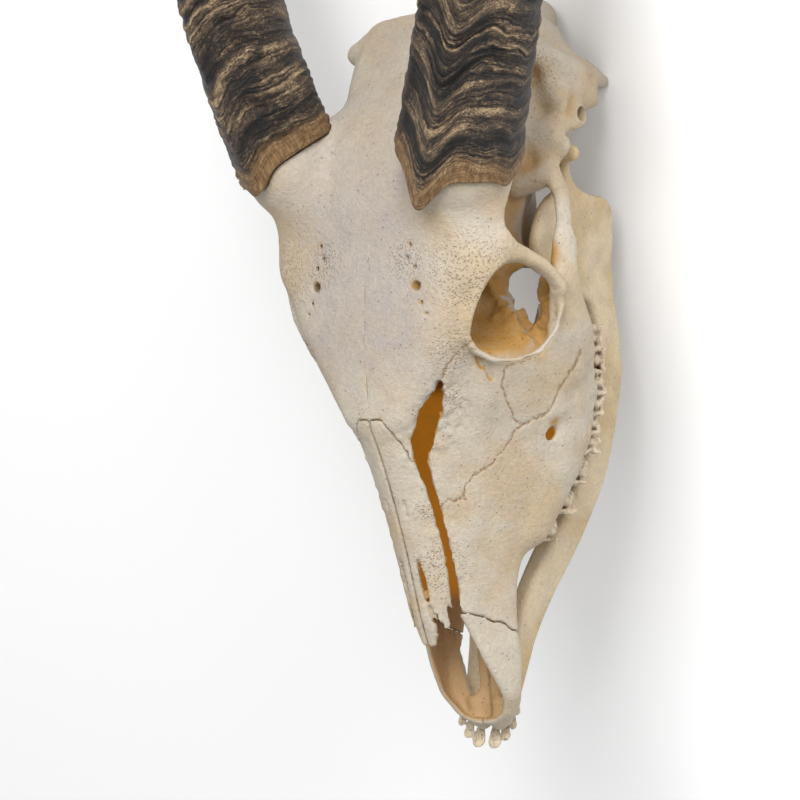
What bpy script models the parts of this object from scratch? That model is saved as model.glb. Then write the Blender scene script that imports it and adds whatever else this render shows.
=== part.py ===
"""A bongo antelope skull with its horns and lower jaw, life size, lying as it rests on a floor.

Each bone is first described as a smooth volume in the skull's own frame, in millimetres: +X is the
animal's left, +Y its tail, +Z up, and the origin lies on the midline of the forehead between the
orbits. The volume is sampled on a grid, turned into a closed mesh and thinned. At the
end everything is tipped back into the pose in which jaw and horns touch the floor.
"""

import math

import bmesh
import bpy
import numpy as np
import openvdb
from mathutils import Matrix, Vector

MM = 0.001
GAP = 0.3
FAR = 60.0

# Sampling of the bones, and the triangles that each keeps
CRANIUM_STEP = 2.0
JAW_STEP = 1.8
CRANIUM_TRIANGLES = 8600
JAW_TRIANGLES = 1700
WELD = 0.02
SHARP = math.radians(50.0)

# How the whole skull lies: tipped back about X, then lifted on to the floor
REST_TILT = math.radians(-23.98)
REST_SHIFT = Vector((0.0, -223.6, 188.45))

# The lower jaw has slipped a little to the animal's right
JAW_SWING = math.radians(-1.0)
JAW_SLIP = -5.0
JAW_PIVOT = Vector((0.0, 82.0, -93.0))


def smooth_min(a, b, blend):
    """The union of two distances, with a fillet about as wide as blend."""
    if blend <= 0:
        return np.minimum(a, b)
    near = np.maximum(blend - np.abs(a - b), 0) / blend
    return np.minimum(a, b) - near * near * blend / 4


def smooth_max(a, b, blend):
    return -smooth_min(-a, -b, blend)


def curve_through(knots, values, at):
    """A smooth curve through the knots that doesn't overshoot them, read at the given places."""
    order = np.argsort(knots)
    x = np.asarray(knots, float)[order]
    v = np.asarray(values, float)[order]
    step = np.diff(x)
    slope = np.diff(v) / step
    tangent = np.zeros(len(x))
    same_way = slope[:-1] * slope[1:] > 0
    mean = 2 * slope[:-1] * slope[1:] / np.where(same_way, slope[:-1] + slope[1:], 1)
    tangent[1:-1] = np.where(same_way, mean, 0)
    tangent[0], tangent[-1] = slope[0], slope[-1]
    at = np.clip(at, x[0], x[-1])
    i = np.clip(np.searchsorted(x, at) - 1, 0, len(step) - 1)
    t = (at - x[i]) / step[i]
    return (
        v[i] * (1 + 2 * t) * (1 - t) ** 2
        + v[i + 1] * t * t * (3 - 2 * t)
        + step[i] * (tangent[i] * t * (1 - t) ** 2 - tangent[i + 1] * t * t * (1 - t))
    )


class Volume:
    """Distances to a surface, negative inside it, on a grid in millimetres."""

    def __init__(self, low, high, step):
        self.step = step
        self.axes = [np.arange(a, b + step, step, dtype=np.float32) for a, b in zip(low, high)]
        self.d = np.full([len(a) for a in self.axes], FAR, np.float32)

    def window(self, low, high):
        """The part of the grid that holds the box, and its coordinates."""
        where = []
        for axis, a, b in zip(self.axes, low, high):
            i = int(np.searchsorted(axis, a))
            j = int(np.searchsorted(axis, b))
            where.append(slice(max(i - 1, 0), min(j + 1, len(axis))))
        x, y, z = (axis[w] for axis, w in zip(self.axes, where))
        return tuple(where), x[:, None, None], y[None, :, None], z[None, None, :]

    def add(self, shape, blend=0.0):
        low, high, distance = shape
        where, x, y, z = self.window(low - blend, high + blend)
        if self.d[where].size:
            self.d[where] = smooth_min(self.d[where], distance(x, y, z), blend)

    def cut(self, shape, blend=0.0):
        low, high, distance = shape
        where, x, y, z = self.window(low - blend, high + blend)
        if self.d[where].size:
            self.d[where] = smooth_max(self.d[where], -distance(x, y, z), blend)


def ellipsoid(centre, radii, axis=None):
    """An ellipsoid. With an axis, its first radius lies along that direction and the others are equal."""
    c = np.asarray(centre, float)
    r = np.asarray(radii, float)
    reach = r.max() + 1

    def distance(x, y, z):
        p = (x - c[0], y - c[1], z - c[2])
        if axis is None:
            q = [p[i] / r[i] for i in range(3)]
            k = np.sqrt(q[0] ** 2 + q[1] ** 2 + q[2] ** 2)
        else:
            n = np.asarray(axis, float) / np.linalg.norm(axis)
            along = p[0] * n[0] + p[1] * n[1] + p[2] * n[2]
            square = p[0] ** 2 + p[1] ** 2 + p[2] ** 2
            k = np.sqrt((along / r[0]) ** 2 + np.maximum(square - along**2, 0) / r[1] ** 2)
        return (k - 1) * r.min()

    return c - reach, c + reach, distance


def rod(points, radii, flat=None):
    """A bar through the points, with a radius at each. flat is (direction, factor): thinner that way."""
    p = np.asarray(points, float)
    r = np.asarray(radii, float)
    reach = r.max() + 1
    if flat is not None:
        thin = np.asarray(flat[0], float) / np.linalg.norm(flat[0])
        more = flat[1] ** 2 - 1

    def distance(x, y, z):
        best = None
        for a, b, ra, rb in zip(p[:-1], p[1:], r[:-1], r[1:]):
            ab = b - a
            t = ((x - a[0]) * ab[0] + (y - a[1]) * ab[1] + (z - a[2]) * ab[2]) / (ab @ ab)
            t = np.clip(t, 0, 1)
            q = (x - a[0] - t * ab[0], y - a[1] - t * ab[1], z - a[2] - t * ab[2])
            square = q[0] ** 2 + q[1] ** 2 + q[2] ** 2
            if flat is not None:
                square = square + more * (q[0] * thin[0] + q[1] * thin[1] + q[2] * thin[2]) ** 2
            d = np.sqrt(square) - (ra + (rb - ra) * t)
            best = d if best is None else np.minimum(best, d)
        return best

    return p.min(0) - reach, p.max(0) + reach, distance


def outline_distance(outline, y, z):
    """Distance from points of the YZ plane to a closed outline, negative inside."""
    best = np.full(np.broadcast(y, z).shape, 1e9)
    inside = np.zeros(best.shape, bool)
    for (ay, az), (by, bz) in zip(outline, np.roll(outline, -1, axis=0)):
        ey, ez = by - ay, bz - az
        t = np.clip(((y - ay) * ey + (z - az) * ez) / (ey * ey + ez * ez), 0, 1)
        best = np.minimum(best, (y - ay - t * ey) ** 2 + (z - az - t * ez) ** 2)
        spans = (az > z) != (bz > z)
        crossing = ay + (z - az) * ey / (ez if ez else 1e-9)
        inside ^= spans & (y < crossing)
    return np.where(inside, -1, 1) * np.sqrt(best)


def rounded(outline, times=2):
    """The outline with its corners cut, twice by default, so that it reads as a smooth curve."""
    points = np.asarray(outline, float)
    for _ in range(times):
        ahead = np.roll(points, -1, axis=0)
        points = np.stack([0.75 * points + 0.25 * ahead, 0.25 * points + 0.75 * ahead], axis=1)
        points = points.reshape(-1, 2)
    return points


# Cross-sections of the skull's trunk from the occiput to the muzzle. Each holds, at one y, the height of
# the roof on the midline, then five (half width, height) points down the side to the base or palate.
SECTIONS = {
    152: (-61, (36, -62), (54, -72), (50, -95), (38, -115), (16, -128)),
    140: (-49, (46, -52), (58, -66), (55, -90), (44, -115), (18, -128)),
    120: (-33, (44, -38), (54, -56), (54, -85), (48, -108), (18, -126)),
    95: (-14, (40, -24), (48, -52), (52, -80), (46, -103), (18, -122)),
    70: (-1, (46, -12), (44, -45), (47, -75), (46, -98), (20, -118)),
    45: (2, (46, -6), (38, -40), (40, -70), (45, -94), (20, -113)),
    20: (0, (48, -6), (33, -36), (34, -68), (42, -91), (20, -109)),
    0: (0, (50, -8), (34, -38), (38, -72), (34, -96), (28, -110)),
    -20: (0, (52, -12), (50, -40), (60, -72), (54, -98), (52, -113)),
    -38: (-1, (44, -14), (60, -45), (66, -72), (61, -98), (55, -112)),
    -55: (-2, (34, -14), (53, -45), (61, -76), (60, -99), (54, -112)),
    -75: (-5, (25, -19), (43, -45), (53, -78), (57, -99), (53, -111)),
    -100: (-16, (21, -29), (34, -50), (45, -80), (49, -97), (46, -109)),
    -131: (-29, (18, -40), (27, -58), (34, -82), (36, -95), (33, -105)),
    -160: (-39, (16, -49), (22, -64), (27, -84), (28, -94), (25, -102)),
    -180: (-46, (15, -56), (20, -68), (25, -86), (27, -96), (24, -103)),
    -200: (-55, (16, -64), (21, -74), (26, -88), (28, -98), (24, -106)),
    -220: (-68, (17, -76), (22, -84), (26, -94), (26, -102), (20, -109)),
    -232: (-84, (15, -90), (19, -94), (21, -100), (20, -106), (14, -111)),
    -240: (-97, (8, -100), (11, -103), (12, -106), (10, -109), (6, -112)),
}
WALL = 3.8
CAVITY_BACK = -32.0

# The forehead's plate over the orbits: half width and how far its edge lies below the midline, at each y
SHIELD = {
    100: (42, 12),
    80: (62, 9),
    60: (76, 13),
    40: (78, 18),
    22: (79, 21),
    8: (74, 14),
    -5: (64, 11),
    -16: (59, 11),
    -38: (47, 14),
    -54: (36, 14),
    -75: (22, 13),
}
SHIELD_DEPTH = 12.0

# The edge of the left eye socket, from the top forwards and round, and the way it faces
ORBIT_RIM = np.array((
    (69, 7, -20), (65.5, -5, -16), (61.5, -15, -15), (57, -25, -17.5), (58, -32, -24), (62, -36, -33),
    (69, -35.5, -44), (74, -31, -56), (78, -20, -64), (79, -8, -67), (77, 4, -61), (75, 11, -50),
    (74, 14.5, -38), (71.5, 12.5, -27),
))
ORBIT = ORBIT_RIM.mean(axis=0)
ORBIT_FACING = np.array((0.952, -0.20, 0.23))
ORBIT_FACING /= np.linalg.norm(ORBIT_FACING)
ORBIT_DEPTH = 52.0
ORBIT_APEX = 95.0
RIM_OUT = 1.04
RIM_THICK = 2.4

# The horns: where the core leaves the forehead, and how the curve turns as it runs back
HORN_ROOT = np.array((60.0, 71.5, -5.2))
HORN_LENGTH = 690.0
HORN_OUT = (0.10, 0.19)
HORN_UP = (0.31, 0.26)
HORN_SWAY = 0.27
HORN_TURN = np.radians((-14.0, -278.0))
HORN_BROAD = 34.5
HORN_NARROW = 29.3
HORN_LEAN = math.radians(-35.0)
HORN_KEEL = math.radians(118.0)
HORN_STEPS = 44
HORN_SIDES = 18
# The plane of the sheath's rim, the length over which the rings straighten up behind it, and how far
# the keel runs on past the rim, on the left and on the right
RIM_FACING = np.array((0.414, 0.836, 0.363))
RIM_REACH = 60.0
RIM_POINTS = (19.0, 8.0)


def horn_line(count):
    """Points along the left horn's middle, from its root, and the direction at each."""
    t = np.linspace(0, 1, count)
    turn = HORN_TURN[0] + (HORN_TURN[1] - HORN_TURN[0]) * t
    out = HORN_OUT[0] + (HORN_OUT[1] - HORN_OUT[0]) * t
    up = HORN_UP[0] + (HORN_UP[1] - HORN_UP[0]) * t
    aside, above = out + HORN_SWAY * np.cos(turn), up + HORN_SWAY * np.sin(turn)
    heading = np.stack([aside, np.ones(count), above], axis=1)
    heading /= np.linalg.norm(heading, axis=1)[:, None]
    steps = (heading[1:] + heading[:-1]) / 2 * HORN_LENGTH / (count - 1)
    return HORN_ROOT + np.vstack([np.zeros(3), np.cumsum(steps, axis=0)]), heading


def horn_taper(t):
    """The horn's thickness as a share of its base: it thins slowly, then runs to a blunt tip."""
    return (1 - 0.60 * t**1.2) * math.sqrt(max(1 - max((t - 0.70) / 0.305, 0) ** 2, 0.003))


def bump(angle, centre, width):
    """A smooth swelling round one angle."""
    away = (angle - centre + math.pi) % (2 * math.pi) - math.pi
    return np.exp(-((away / width) ** 2))


def horn_radius(angle, t):
    """The horn's section: an oval with a keel in front and a lesser one behind."""
    oval = 1 / np.sqrt((np.cos(angle) / HORN_BROAD) ** 2 + (np.sin(angle) / HORN_NARROW) ** 2)
    keels = 3.0 * bump(angle, HORN_KEEL, 0.32) + 1.5 * bump(angle, HORN_KEEL + math.pi, 0.4)
    return (oval + keels) * horn_taper(t)


def horn_places(t, centre, ahead, angle, grow, point):
    """Points round one section of the left horn, slid along it near the base to meet the slanting rim."""
    across = np.cross(ahead, (0, 0, 1))
    across /= np.linalg.norm(across)
    up = np.cross(across, ahead)
    lean = HORN_LEAN + (HORN_TURN[1] - HORN_TURN[0]) * t**1.35
    radius = horn_radius(angle, t) + grow
    spread = np.outer(radius * np.cos(angle + lean), across) + np.outer(radius * np.sin(angle + lean), up)
    slide = -(spread @ RIM_FACING) / (ahead @ RIM_FACING)
    slide -= point * bump(angle, HORN_KEEL, 0.32) + 5.0 * bump(angle, math.radians(28), 0.2)
    slide *= max(1 - t * HORN_LENGTH / RIM_REACH, 0)
    return centre + spread + np.outer(slide, ahead)


def trunk(volume):
    """The braincase and the face as one body lofted through SECTIONS. Returns its own distances."""
    stations = sorted(SECTIONS)
    x, y, z = volume.axes
    rows = {k: SECTIONS[k] for k in stations}
    roof_mid = curve_through(stations, [rows[k][0] for k in stations], y)
    width = [curve_through(stations, [rows[k][i][0] for k in stations], y) for i in range(1, 6)]
    height = [curve_through(stations, [rows[k][i][1] for k in stations], y) for i in range(1, 6)]
    side = np.empty((len(y), len(z)))
    for j in range(len(y)):
        heights = [height[i][j] for i in range(4, -1, -1)]
        widths = [width[i][j] for i in range(4, -1, -1)]
        side[j] = np.interp(z, heights, widths)
    smooth = max(1, round(6.0 / volume.step)) | 1
    padded = np.pad(side, ((0, 0), (smooth // 2, smooth // 2)), mode="edge")
    side = sum(padded[:, i : i + len(z)] for i in range(smooth)) / smooth
    by_y, by_z = np.gradient(side, volume.step)
    flank = (x[:, None, None] - side[None]) / np.sqrt(1 + by_y**2 + by_z**2)[None]
    fall = (roof_mid - height[0]) / width[0] ** 2
    roof_height = roof_mid[None, :] - fall[None, :] * x[:, None] ** 2
    by_x, by_y = np.gradient(roof_height, volume.step)
    roof = (z[None, None, :] - roof_height[:, :, None]) / np.sqrt(1 + by_x**2 + by_y**2)[:, :, None]
    floor = height[4][None, :, None] - z[None, None, :]
    body = smooth_max(smooth_max(flank, roof, 7.0), floor, 8.0)
    back = y[None, :, None] - (152 + 0.06 * (z[None, None, :] + 62))
    front = -238.5 - y[None, :, None]
    return smooth_max(smooth_max(body, back, 7.0), front, 3.0).astype(np.float32)


def shield(volume):
    """The forehead's plate, which overhangs the orbits and the temples."""
    ys = sorted(SHIELD)

    def distance(x, y, z):
        row = y[0, :, 0]
        half = curve_through(ys, [SHIELD[k][0] for k in ys], row)[None, :, None]
        drop = curve_through(ys, [SHIELD[k][1] for k in ys], row)[None, :, None]
        stations = sorted(SECTIONS)
        mid = curve_through(stations, [SECTIONS[k][0] for k in stations], row)[None, :, None]
        top = mid - drop * (x / half) ** 7
        body = smooth_max(z - top, top - SHIELD_DEPTH - z, 6.0)
        body = smooth_max(body, (x - half) * 0.9, 9.0)
        return smooth_max(body, np.maximum(y - 98, -76 - y), 8.0)

    volume.add((np.array((0, -78, -52)), np.array((86, 100, 12)), distance), 9.0)


def pedicle(volume):
    """The bony core that runs up into the horn."""
    line, heading = horn_line(60)
    ahead = heading[0]
    across = np.cross(ahead, (0, 0, 1))
    across /= np.linalg.norm(across)
    narrow = -math.sin(HORN_LEAN) * across + math.cos(HORN_LEAN) * np.cross(across, ahead)
    core = [HORN_ROOT - ahead * 50 - (9, 0, 12), HORN_ROOT - ahead * 4, HORN_ROOT + ahead * 30]
    volume.add(rod(core, [20, 30, 31], (narrow, HORN_BROAD / HORN_NARROW)), 9.0)


def socket():
    """The eye socket as a cone that narrows inwards from its rim."""
    along = np.cross(ORBIT_FACING, (0, 1, 0))
    along /= np.linalg.norm(along)
    beside = np.cross(ORBIT_FACING, along)
    outline = np.stack([(ORBIT_RIM - ORBIT) @ along, (ORBIT_RIM - ORBIT) @ beside], axis=1)
    outline = rounded(outline, 1)

    def distance(x, y, z):
        p = (x - ORBIT[0], y - ORBIT[1], z - ORBIT[2])
        u, v, w = (p[0] * n[0] + p[1] * n[1] + p[2] * n[2] for n in (along, beside, ORBIT_FACING))
        scale = np.clip(1 + w / ORBIT_APEX, 0.3, 1.15)
        side = outline_distance(outline, u / scale, v / scale) * scale
        return smooth_max(side, -w - ORBIT_DEPTH, 12.0)

    return ORBIT - (ORBIT_DEPTH + 10, 42, 42), ORBIT + (22, 42, 42), distance


def orbit(volume):
    """The rim of the socket, the bar behind it and the cheek bone below."""
    rim = ORBIT + (ORBIT_RIM - ORBIT) * RIM_OUT
    volume.add(rod(np.vstack([rim, rim[:1]]), [RIM_THICK] * (len(rim) + 1)), 7.0)
    volume.add(rod([(72, 24, -24), (76, 19, -41), (79, 13, -53), (79.5, 2, -65)], [6, 4, 4, 5.5]), 6.0)
    volume.add(
        rod(
            [(58, -60, -92), (63, -44, -86), (71, -22, -78), (76, 6, -74), (75.5, 24, -77)],
            [7, 8, 7.5, 7, 6.5],
            ((1, 0, 0.3), 1.6),
        ),
        8.0,
    )
    flare = [(74, 10, -79), (72.5, -2, -86), (71, -18, -97), (64, -32, -107)]
    volume.add(rod(flare, [5, 5, 5.5, 7]), 8.0)
    above = [(73, 4, -80), (71, -12, -86), (67, -26, -93), (61, -42, -100)]
    volume.add(rod(above, [5, 7, 7.5, 8]), 8.0)
    volume.cut(socket(), 3.0)
    volume.cut(rod([(50, 2, -46), (52, 32, -50)], [17, 16]), 7.0)
    volume.cut(rod([(57, 24, -66), (58, 52, -66)], [13, 15]), 7.0)
    volume.add(rod([(62, -7, -83), (60, -18, -85), (58, -30, -86)], [6, 7.5, 7]), 5.0)


def socket_floor(volume):
    """The wide gap in the socket's floor, which opens through to the space between the jaws."""
    tall = [(64, -8, -59), (38, -8, -90), (8, -8, -126)]
    volume.cut(rod(tall, [14, 14, 14], ((0.766, 0, -0.643), 2.2)), 3.0)
    wide = [(64.5, 4, -60), (38.5, 4, -91), (8.5, 4, -127)]
    volume.cut(rod(wide, [11, 11, 11], ((0, 1, 0), 1.15)), 3.0)


def zygoma(volume):
    """The cheek arch from the orbit back to its root over the jaw joint."""
    arch = [(74.5, 20, -77), (74, 37, -78), (71, 51, -80), (60, 66, -83), (54, 78, -86)]
    volume.add(rod(arch, [6.2, 5.4, 5.4, 6.5, 8], ((1, -0.3, 0.2), 2.0)), 8.0)
    volume.add(rod([(40, 70, -78), (49, 65, -87)], [10, 8.5]), 7.0)
    volume.add(rod([(44, 60, -74), (55, 61, -78), (62, 64, -81)], [10, 7, 5], ((0, 0, 1), 1.3)), 5.0)
    volume.add(rod([(40, 84, -83), (57, 83, -85), (64, 79, -87)], [11, 10, 6.5], ((0, 0, 1), 1.35)), 9.0)
    volume.add(rod([(56, 90, -88), (62, 91, -97), (61, 92, -104)], [6, 5, 4.5], ((0.3, 1, 0), 1.3)), 5.0)


def ear_region(volume):
    """The ridge over the ear, the mastoid, the ear's tube, the bulla and the process behind it."""
    ridge = [(59, 132, -62), (59, 124, -75), (60, 110, -83), (62, 100, -89), (59, 90, -90)]
    volume.add(rod(ridge, [3.5, 3, 3, 3.5, 5]), 6.0)
    mastoid = [(55, 132, -60), (60, 128, -84), (56, 122, -108)]
    volume.add(rod(mastoid, [4, 5.5, 7], ((0.5, 1, 0), 1.3)), 10.0)
    volume.add(rod([(54, 112, -92), (52, 108, -118), (49, 107, -132)], [12, 10, 6]), 10.0)
    volume.add(rod([(44, 126, -108), (46, 120, -132), (43, 117, -151)], [10, 7.5, 4]), 8.0)
    volume.add(rod([(36, 99, -100), (62, 97, -103)], [9, 6.5]), 5.0)
    volume.cut(rod([(52, 98, -102.5), (72, 96, -104)], [3.6, 4.0]), 1.5)
    volume.add(ellipsoid((31, 98, -125), (10, 17, 13)), 7.0)


def occiput(volume):
    """The condyles round the hole for the spinal cord, and the crest above it."""
    volume.add(rod([(0, 148, -61), (36, 143, -60), (54, 132, -60)], [6, 5, 4], ((0, 0.5, 1), 1.3)), 8.0)
    volume.add(ellipsoid((18, 150, -122), (12, 13, 15)), 7.0)
    volume.cut(rod([(0, 165, -109), (0, 120, -100)], [14, 12]), 4.0)


def skull_base(volume):
    """The passage behind the palate between two thin plates."""
    volume.cut(rod([(0, -22, -104), (0, 5, -107), (0, 40, -118)], [13, 13, 12]), 4.0)
    volume.cut(rod([(48, 6, -112), (44, 34, -104), (52, 60, -100)], [17, 18, 14]), 8.0)
    plate = [(21, -18, -108), (20, 8, -112), (20, 34, -112), (20, 56, -112)]
    volume.add(rod(plate, [9, 12, 11, 9], ((1, 0, 0), 3.6)), 3.0)


# Upper cheek teeth from the back to the front: middle y, middle x, height of the chewing face,
# length, breadth and the number of lobes
UPPER_TEETH = (
    (-31, 43.5, -142.0, 24, 17, 2),
    (-55, 44.5, -141.0, 23, 18, 2),
    (-77, 43.5, -139.0, 20, 17, 2),
    (-96, 39.5, -135.5, 16, 15, 1),
    (-113, 34.5, -131.0, 15, 12, 1),
    (-129, 29, -126.0, 14, 10, 1),
)
LOWER_IN = 0.88


def tooth_row(volume, upper):
    """One side's cheek teeth, each lobe a tapered column whose outer edges stand out as ridges."""
    for y, x, chew, length, breadth, lobes in UPPER_TEETH:
        reach = length / lobes
        for i in range(lobes):
            middle = y + (i + 0.5) * reach - length / 2
            if upper:
                wide = breadth / 2
                top, tip = -106.0, chew
                at = x
            else:
                wide = breadth * 0.29
                top, tip = chew - 16, chew - 1.2
                at = x * LOWER_IN
            thick = reach / 2 + 0.4
            squeeze = wide / thick
            radius = thick if squeeze >= 1 else wide
            narrow = ((0, 1, 0), squeeze) if squeeze >= 1 else ((1, 0, 0), 1 / squeeze)
            column = rod([(at, middle, top), (at, middle, tip)], [radius * max(squeeze, 1)] * 2, narrow)
            low, high, distance = column
            level = tip

            def clipped(px, py, pz, distance=distance, level=level, top=top):
                body = distance(px, py, pz)
                return np.maximum(body, np.maximum(level - pz, pz - top - 4))

            volume.add((low, high, clipped), 1.0)
            if upper:
                for edge in (-0.5, 0.5):
                    ridge = middle + edge * reach
                    out = at + wide * 0.78
                    spine = 1.0 + 0.4 * lobes
                    ends = [(out - 1, ridge, tip + 14), (out + 0.4, ridge, tip)]
                    volume.add(rod(ends, [spine, spine * 0.8]), 1.5)


def alveolar_ridge(volume):
    """The thick edge of the upper jaw that holds the cheek teeth, down to their necks."""
    places = [(42, -14, -116)] + [(x + 2.5, y, chew + 21.5) for y, x, chew, *_ in UPPER_TEETH]
    widths = [8.5] + [b * 0.5 + 3.7 for _, _, _, _, b, _ in UPPER_TEETH]
    volume.add(rod(places, widths, ((0, 0, 1), 0.95)), 12.0)
    volume.add(rod([(54, -20, -107), (53.5, -60, -107), (45, -95, -106)], [8, 8, 6]), 9.0)


# Half width of the two nasal bones together at each y, how far their blocks reach above and below the
# roof, and how thick their ends are over the nose opening
NASALS = {
    -70: 8.0, -76: 11.5, -92: 15.6, -105: 17.4, -120: 17.6, -135: 17.2, -160: 15.2, -180: 13.0,
    -192: 12.0,
}
NASAL_ABOVE = 8.0
NASAL_DEPTH = 11.0
NASAL_BELOW = 18.0
# The forked end of the left nasal bone, from its outer to its inner prong, as (x, y)
NASAL_FORK = ((12.2, -181.0), (10.4, -184.5), (8.6, -172.0), (7.2, -181.0), (4.6, -192.0), (1.6, -194.5))


def roof(y):
    """Height of the skull's roof on the midline."""
    stations = sorted(SECTIONS)
    return curve_through(stations, [SECTIONS[k][0] for k in stations], y)


def nasal_half(y):
    ys = sorted(NASALS)
    return curve_through(ys, [NASALS[k] for k in ys], y)


def prism(name, outline, low, high, across):
    """A closed prism over an outline. It runs from low to high at each corner, across the axis given."""
    rest = [i for i in range(3) if i != across]
    points = np.zeros((2, len(outline), 3))
    points[:, :, rest] = outline
    points[0, :, across] = low
    points[1, :, across] = high
    work = bmesh.new()
    floor, lid = ([work.verts.new(p) for p in layer] for layer in points)
    work.faces.new(floor)
    work.faces.new(lid[::-1])
    for i in range(len(outline)):
        j = (i + 1) % len(outline)
        work.faces.new((floor[i], lid[i], lid[j], floor[j]))
    bmesh.ops.recalc_face_normals(work, faces=work.faces)
    bmesh.ops.triangulate(work, faces=work.faces)
    mesh = bpy.data.meshes.new(name)
    work.to_mesh(mesh)
    work.free()
    return mesh


def nasal_edge(grow):
    """The outer edge of the left nasal bone from its root to its fork, as (x, y)."""
    ys = np.linspace(-70, -178, 19)
    return [(half + grow, y) for half, y in zip(nasal_half(ys), ys)]


def nasal_prism():
    """The block that holds the left nasal bone and nothing else."""
    outline = np.array([(GAP / 2, -70)] + nasal_edge(0) + list(NASAL_FORK) + [(GAP / 2, -190)])
    top = roof(outline[:, 1])
    return prism("nasal", outline, top - NASAL_BELOW, top + NASAL_ABOVE, 2)


def nasal_clearance():
    """The block that both nasal bones take out of the cranium."""
    left = [(0, -70 + GAP), (NASALS[-70] + GAP, -70 + GAP)] + nasal_edge(GAP) + [(NASALS[-192] + 2, -200)]
    right = [(-x, y) for x, y in left[1:]]
    outline = np.array(left + right[::-1])
    top = roof(outline[:, 1])
    return prism("clearance", outline, top - NASAL_BELOW - GAP, top + NASAL_ABOVE, 2)


# The suture between the upper jaw and the muzzle's tip, from above downwards, as (y, z)
MUZZLE_SUTURE = ((-174, -30), (-174, -57), (-177, -72), (-182, -88), (-188, -103), (-188, -135))


def muzzle_prism(near, far, back):
    """The block in front of the suture, between two planes of equal x."""
    outline = [(y + back, z) for y, z in MUZZLE_SUTURE] + [(-262, -135), (-262, -30)]
    return prism("muzzle", np.array(outline), near, far, 0)


def hollow_nose(volume, outer):
    """Hollows the face, leaving walls of even thickness, and opens it at the front."""
    y = volume.axes[1][None, :, None]
    inner = smooth_max(outer + WALL, y - CAVITY_BACK, 8.0)
    volume.d = smooth_max(volume.d, -inner, 1.5)


def nose_opening(y):
    """Height of the edge of the bony nose opening: it falls steeply behind, then along the muzzle."""
    ys = (-240, -232, -222, -205, -190, -176, -170, -166)
    return curve_through(ys, (-99, -97, -91, -79, -70, -61, -52, -36), y)


def open_nose(volume):
    """Opens the front of the face, under the ends of the nasal bones."""
    x, y, z = volume.axes
    above = nose_opening(y)[None, :, None] - z[None, None, :]
    beside = nasal_half(y)[None, :] - 0.5 - x[:, None]
    beside = np.minimum(beside, y[None, :] + 196)[:, :, None]
    under = z[None, None, :] - (roof(y) - NASAL_DEPTH)[None, :, None]
    opening = np.maximum(above, np.minimum(beside, under))
    volume.d = smooth_max(volume.d, -np.maximum(opening, y[None, :, None] + 160), 2.5)


def muzzle(volume):
    """The thick end of the muzzle, and the slits of the palate behind it."""
    end = [(9, -226, -107), (8, -234, -107), (6, -237, -107.5)]
    volume.add(rod(end, [7, 6, 4.5], ((0, 0, 1), 1.25)), 3.0)
    slit = [(11, -180, -104), (13, -198, -106), (11, -219, -109)]
    volume.cut(rod(slit, [3.5, 6.5, 4], ((0, 0, 1), 0.35)), 1.0)


def face_gap(volume):
    """The gap beside the root of the nasal bone, wide behind and drawn out to a slit in front."""
    through = (0.5, 0, 0.8)
    volume.cut(rod([(37.5, -50, -17), (36.5, -58, -17)], [1.8, 2.6], (through, 0.3)), 0.5)
    wide = [(35, -58, -16), (30, -68, -17.5), (23.5, -81, -19.5), (20, -90, -22)]
    volume.cut(rod(wide, [3.6, 6.8, 6.4, 4.6], (through, 0.5)), 1.0)
    slit = [(20, -90, -22), (18, -106, -32), (18, -134, -44.5), (16.8, -152, -51.5), (15.4, -174, -58.5)]
    volume.cut(rod(slit, [4.2, 2.3, 1.9, 1.9, 2.2], (through, 0.2)), 0.5)


def cranium_volume(step):
    """The left half of the skull without its lower jaw."""
    volume = Volume((-2 * step, -248, -165), (90, 168, 26), step)
    outer = trunk(volume)
    volume.d = outer.copy()
    shield(volume)
    pedicle(volume)
    orbit(volume)
    zygoma(volume)
    occiput(volume)
    ear_region(volume)
    skull_base(volume)
    alveolar_ridge(volume)
    hollow_nose(volume, outer)
    tooth_row(volume, upper=True)
    open_nose(volume)
    muzzle(volume)
    face_gap(volume)
    socket_floor(volume)
    return volume


# The lower jaw seen from its left side, as (y, z) points round its edge
JAW_OUTLINE = (
    (-239, -118), (-230, -126), (-208, -134), (-185, -141), (-161, -151), (-137, -160), (-110, -167),
    (-81, -172), (-48, -175), (-22, -175), (-8, -173), (10, -172), (26, -171), (40, -170), (50, -165),
    (55, -156), (55, -142), (57, -129), (61, -119), (68, -110), (78, -106), (83, -101), (78, -98),
    (68, -103), (58, -103), (53, -92), (46, -84), (34, -80), (22, -81), (13, -91), (7, -106),
    (2, -124), (-3, -139), (-6, -148), (-31, -150), (-79, -147), (-98, -143), (-132, -135),
    (-146, -129), (-167, -123),
    (-190, -119), (-215, -115), (-234, -112),
)
# Distance of the jaw's middle from the midline, and half its thickness, at each y. Its rear part leans
# outwards at the top.
JAW_PLACE = {
    -239: (7.2, 7.0), -222: (8.2, 8.0), -200: (9.0, 8.2), -185: (12.0, 7.0), -165: (17.0, 6.4),
    -132: (27.0, 7.4), -98: (35.5, 8.6), -56: (39.5, 9.6), -22: (41.5, 9.0), 0: (44.0, 6.4),
    20: (47.5, 4.4), 50: (51.0, 3.8), 84: (56.0, 4.4),
}

JAW_LEAN = 0.18


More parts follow.
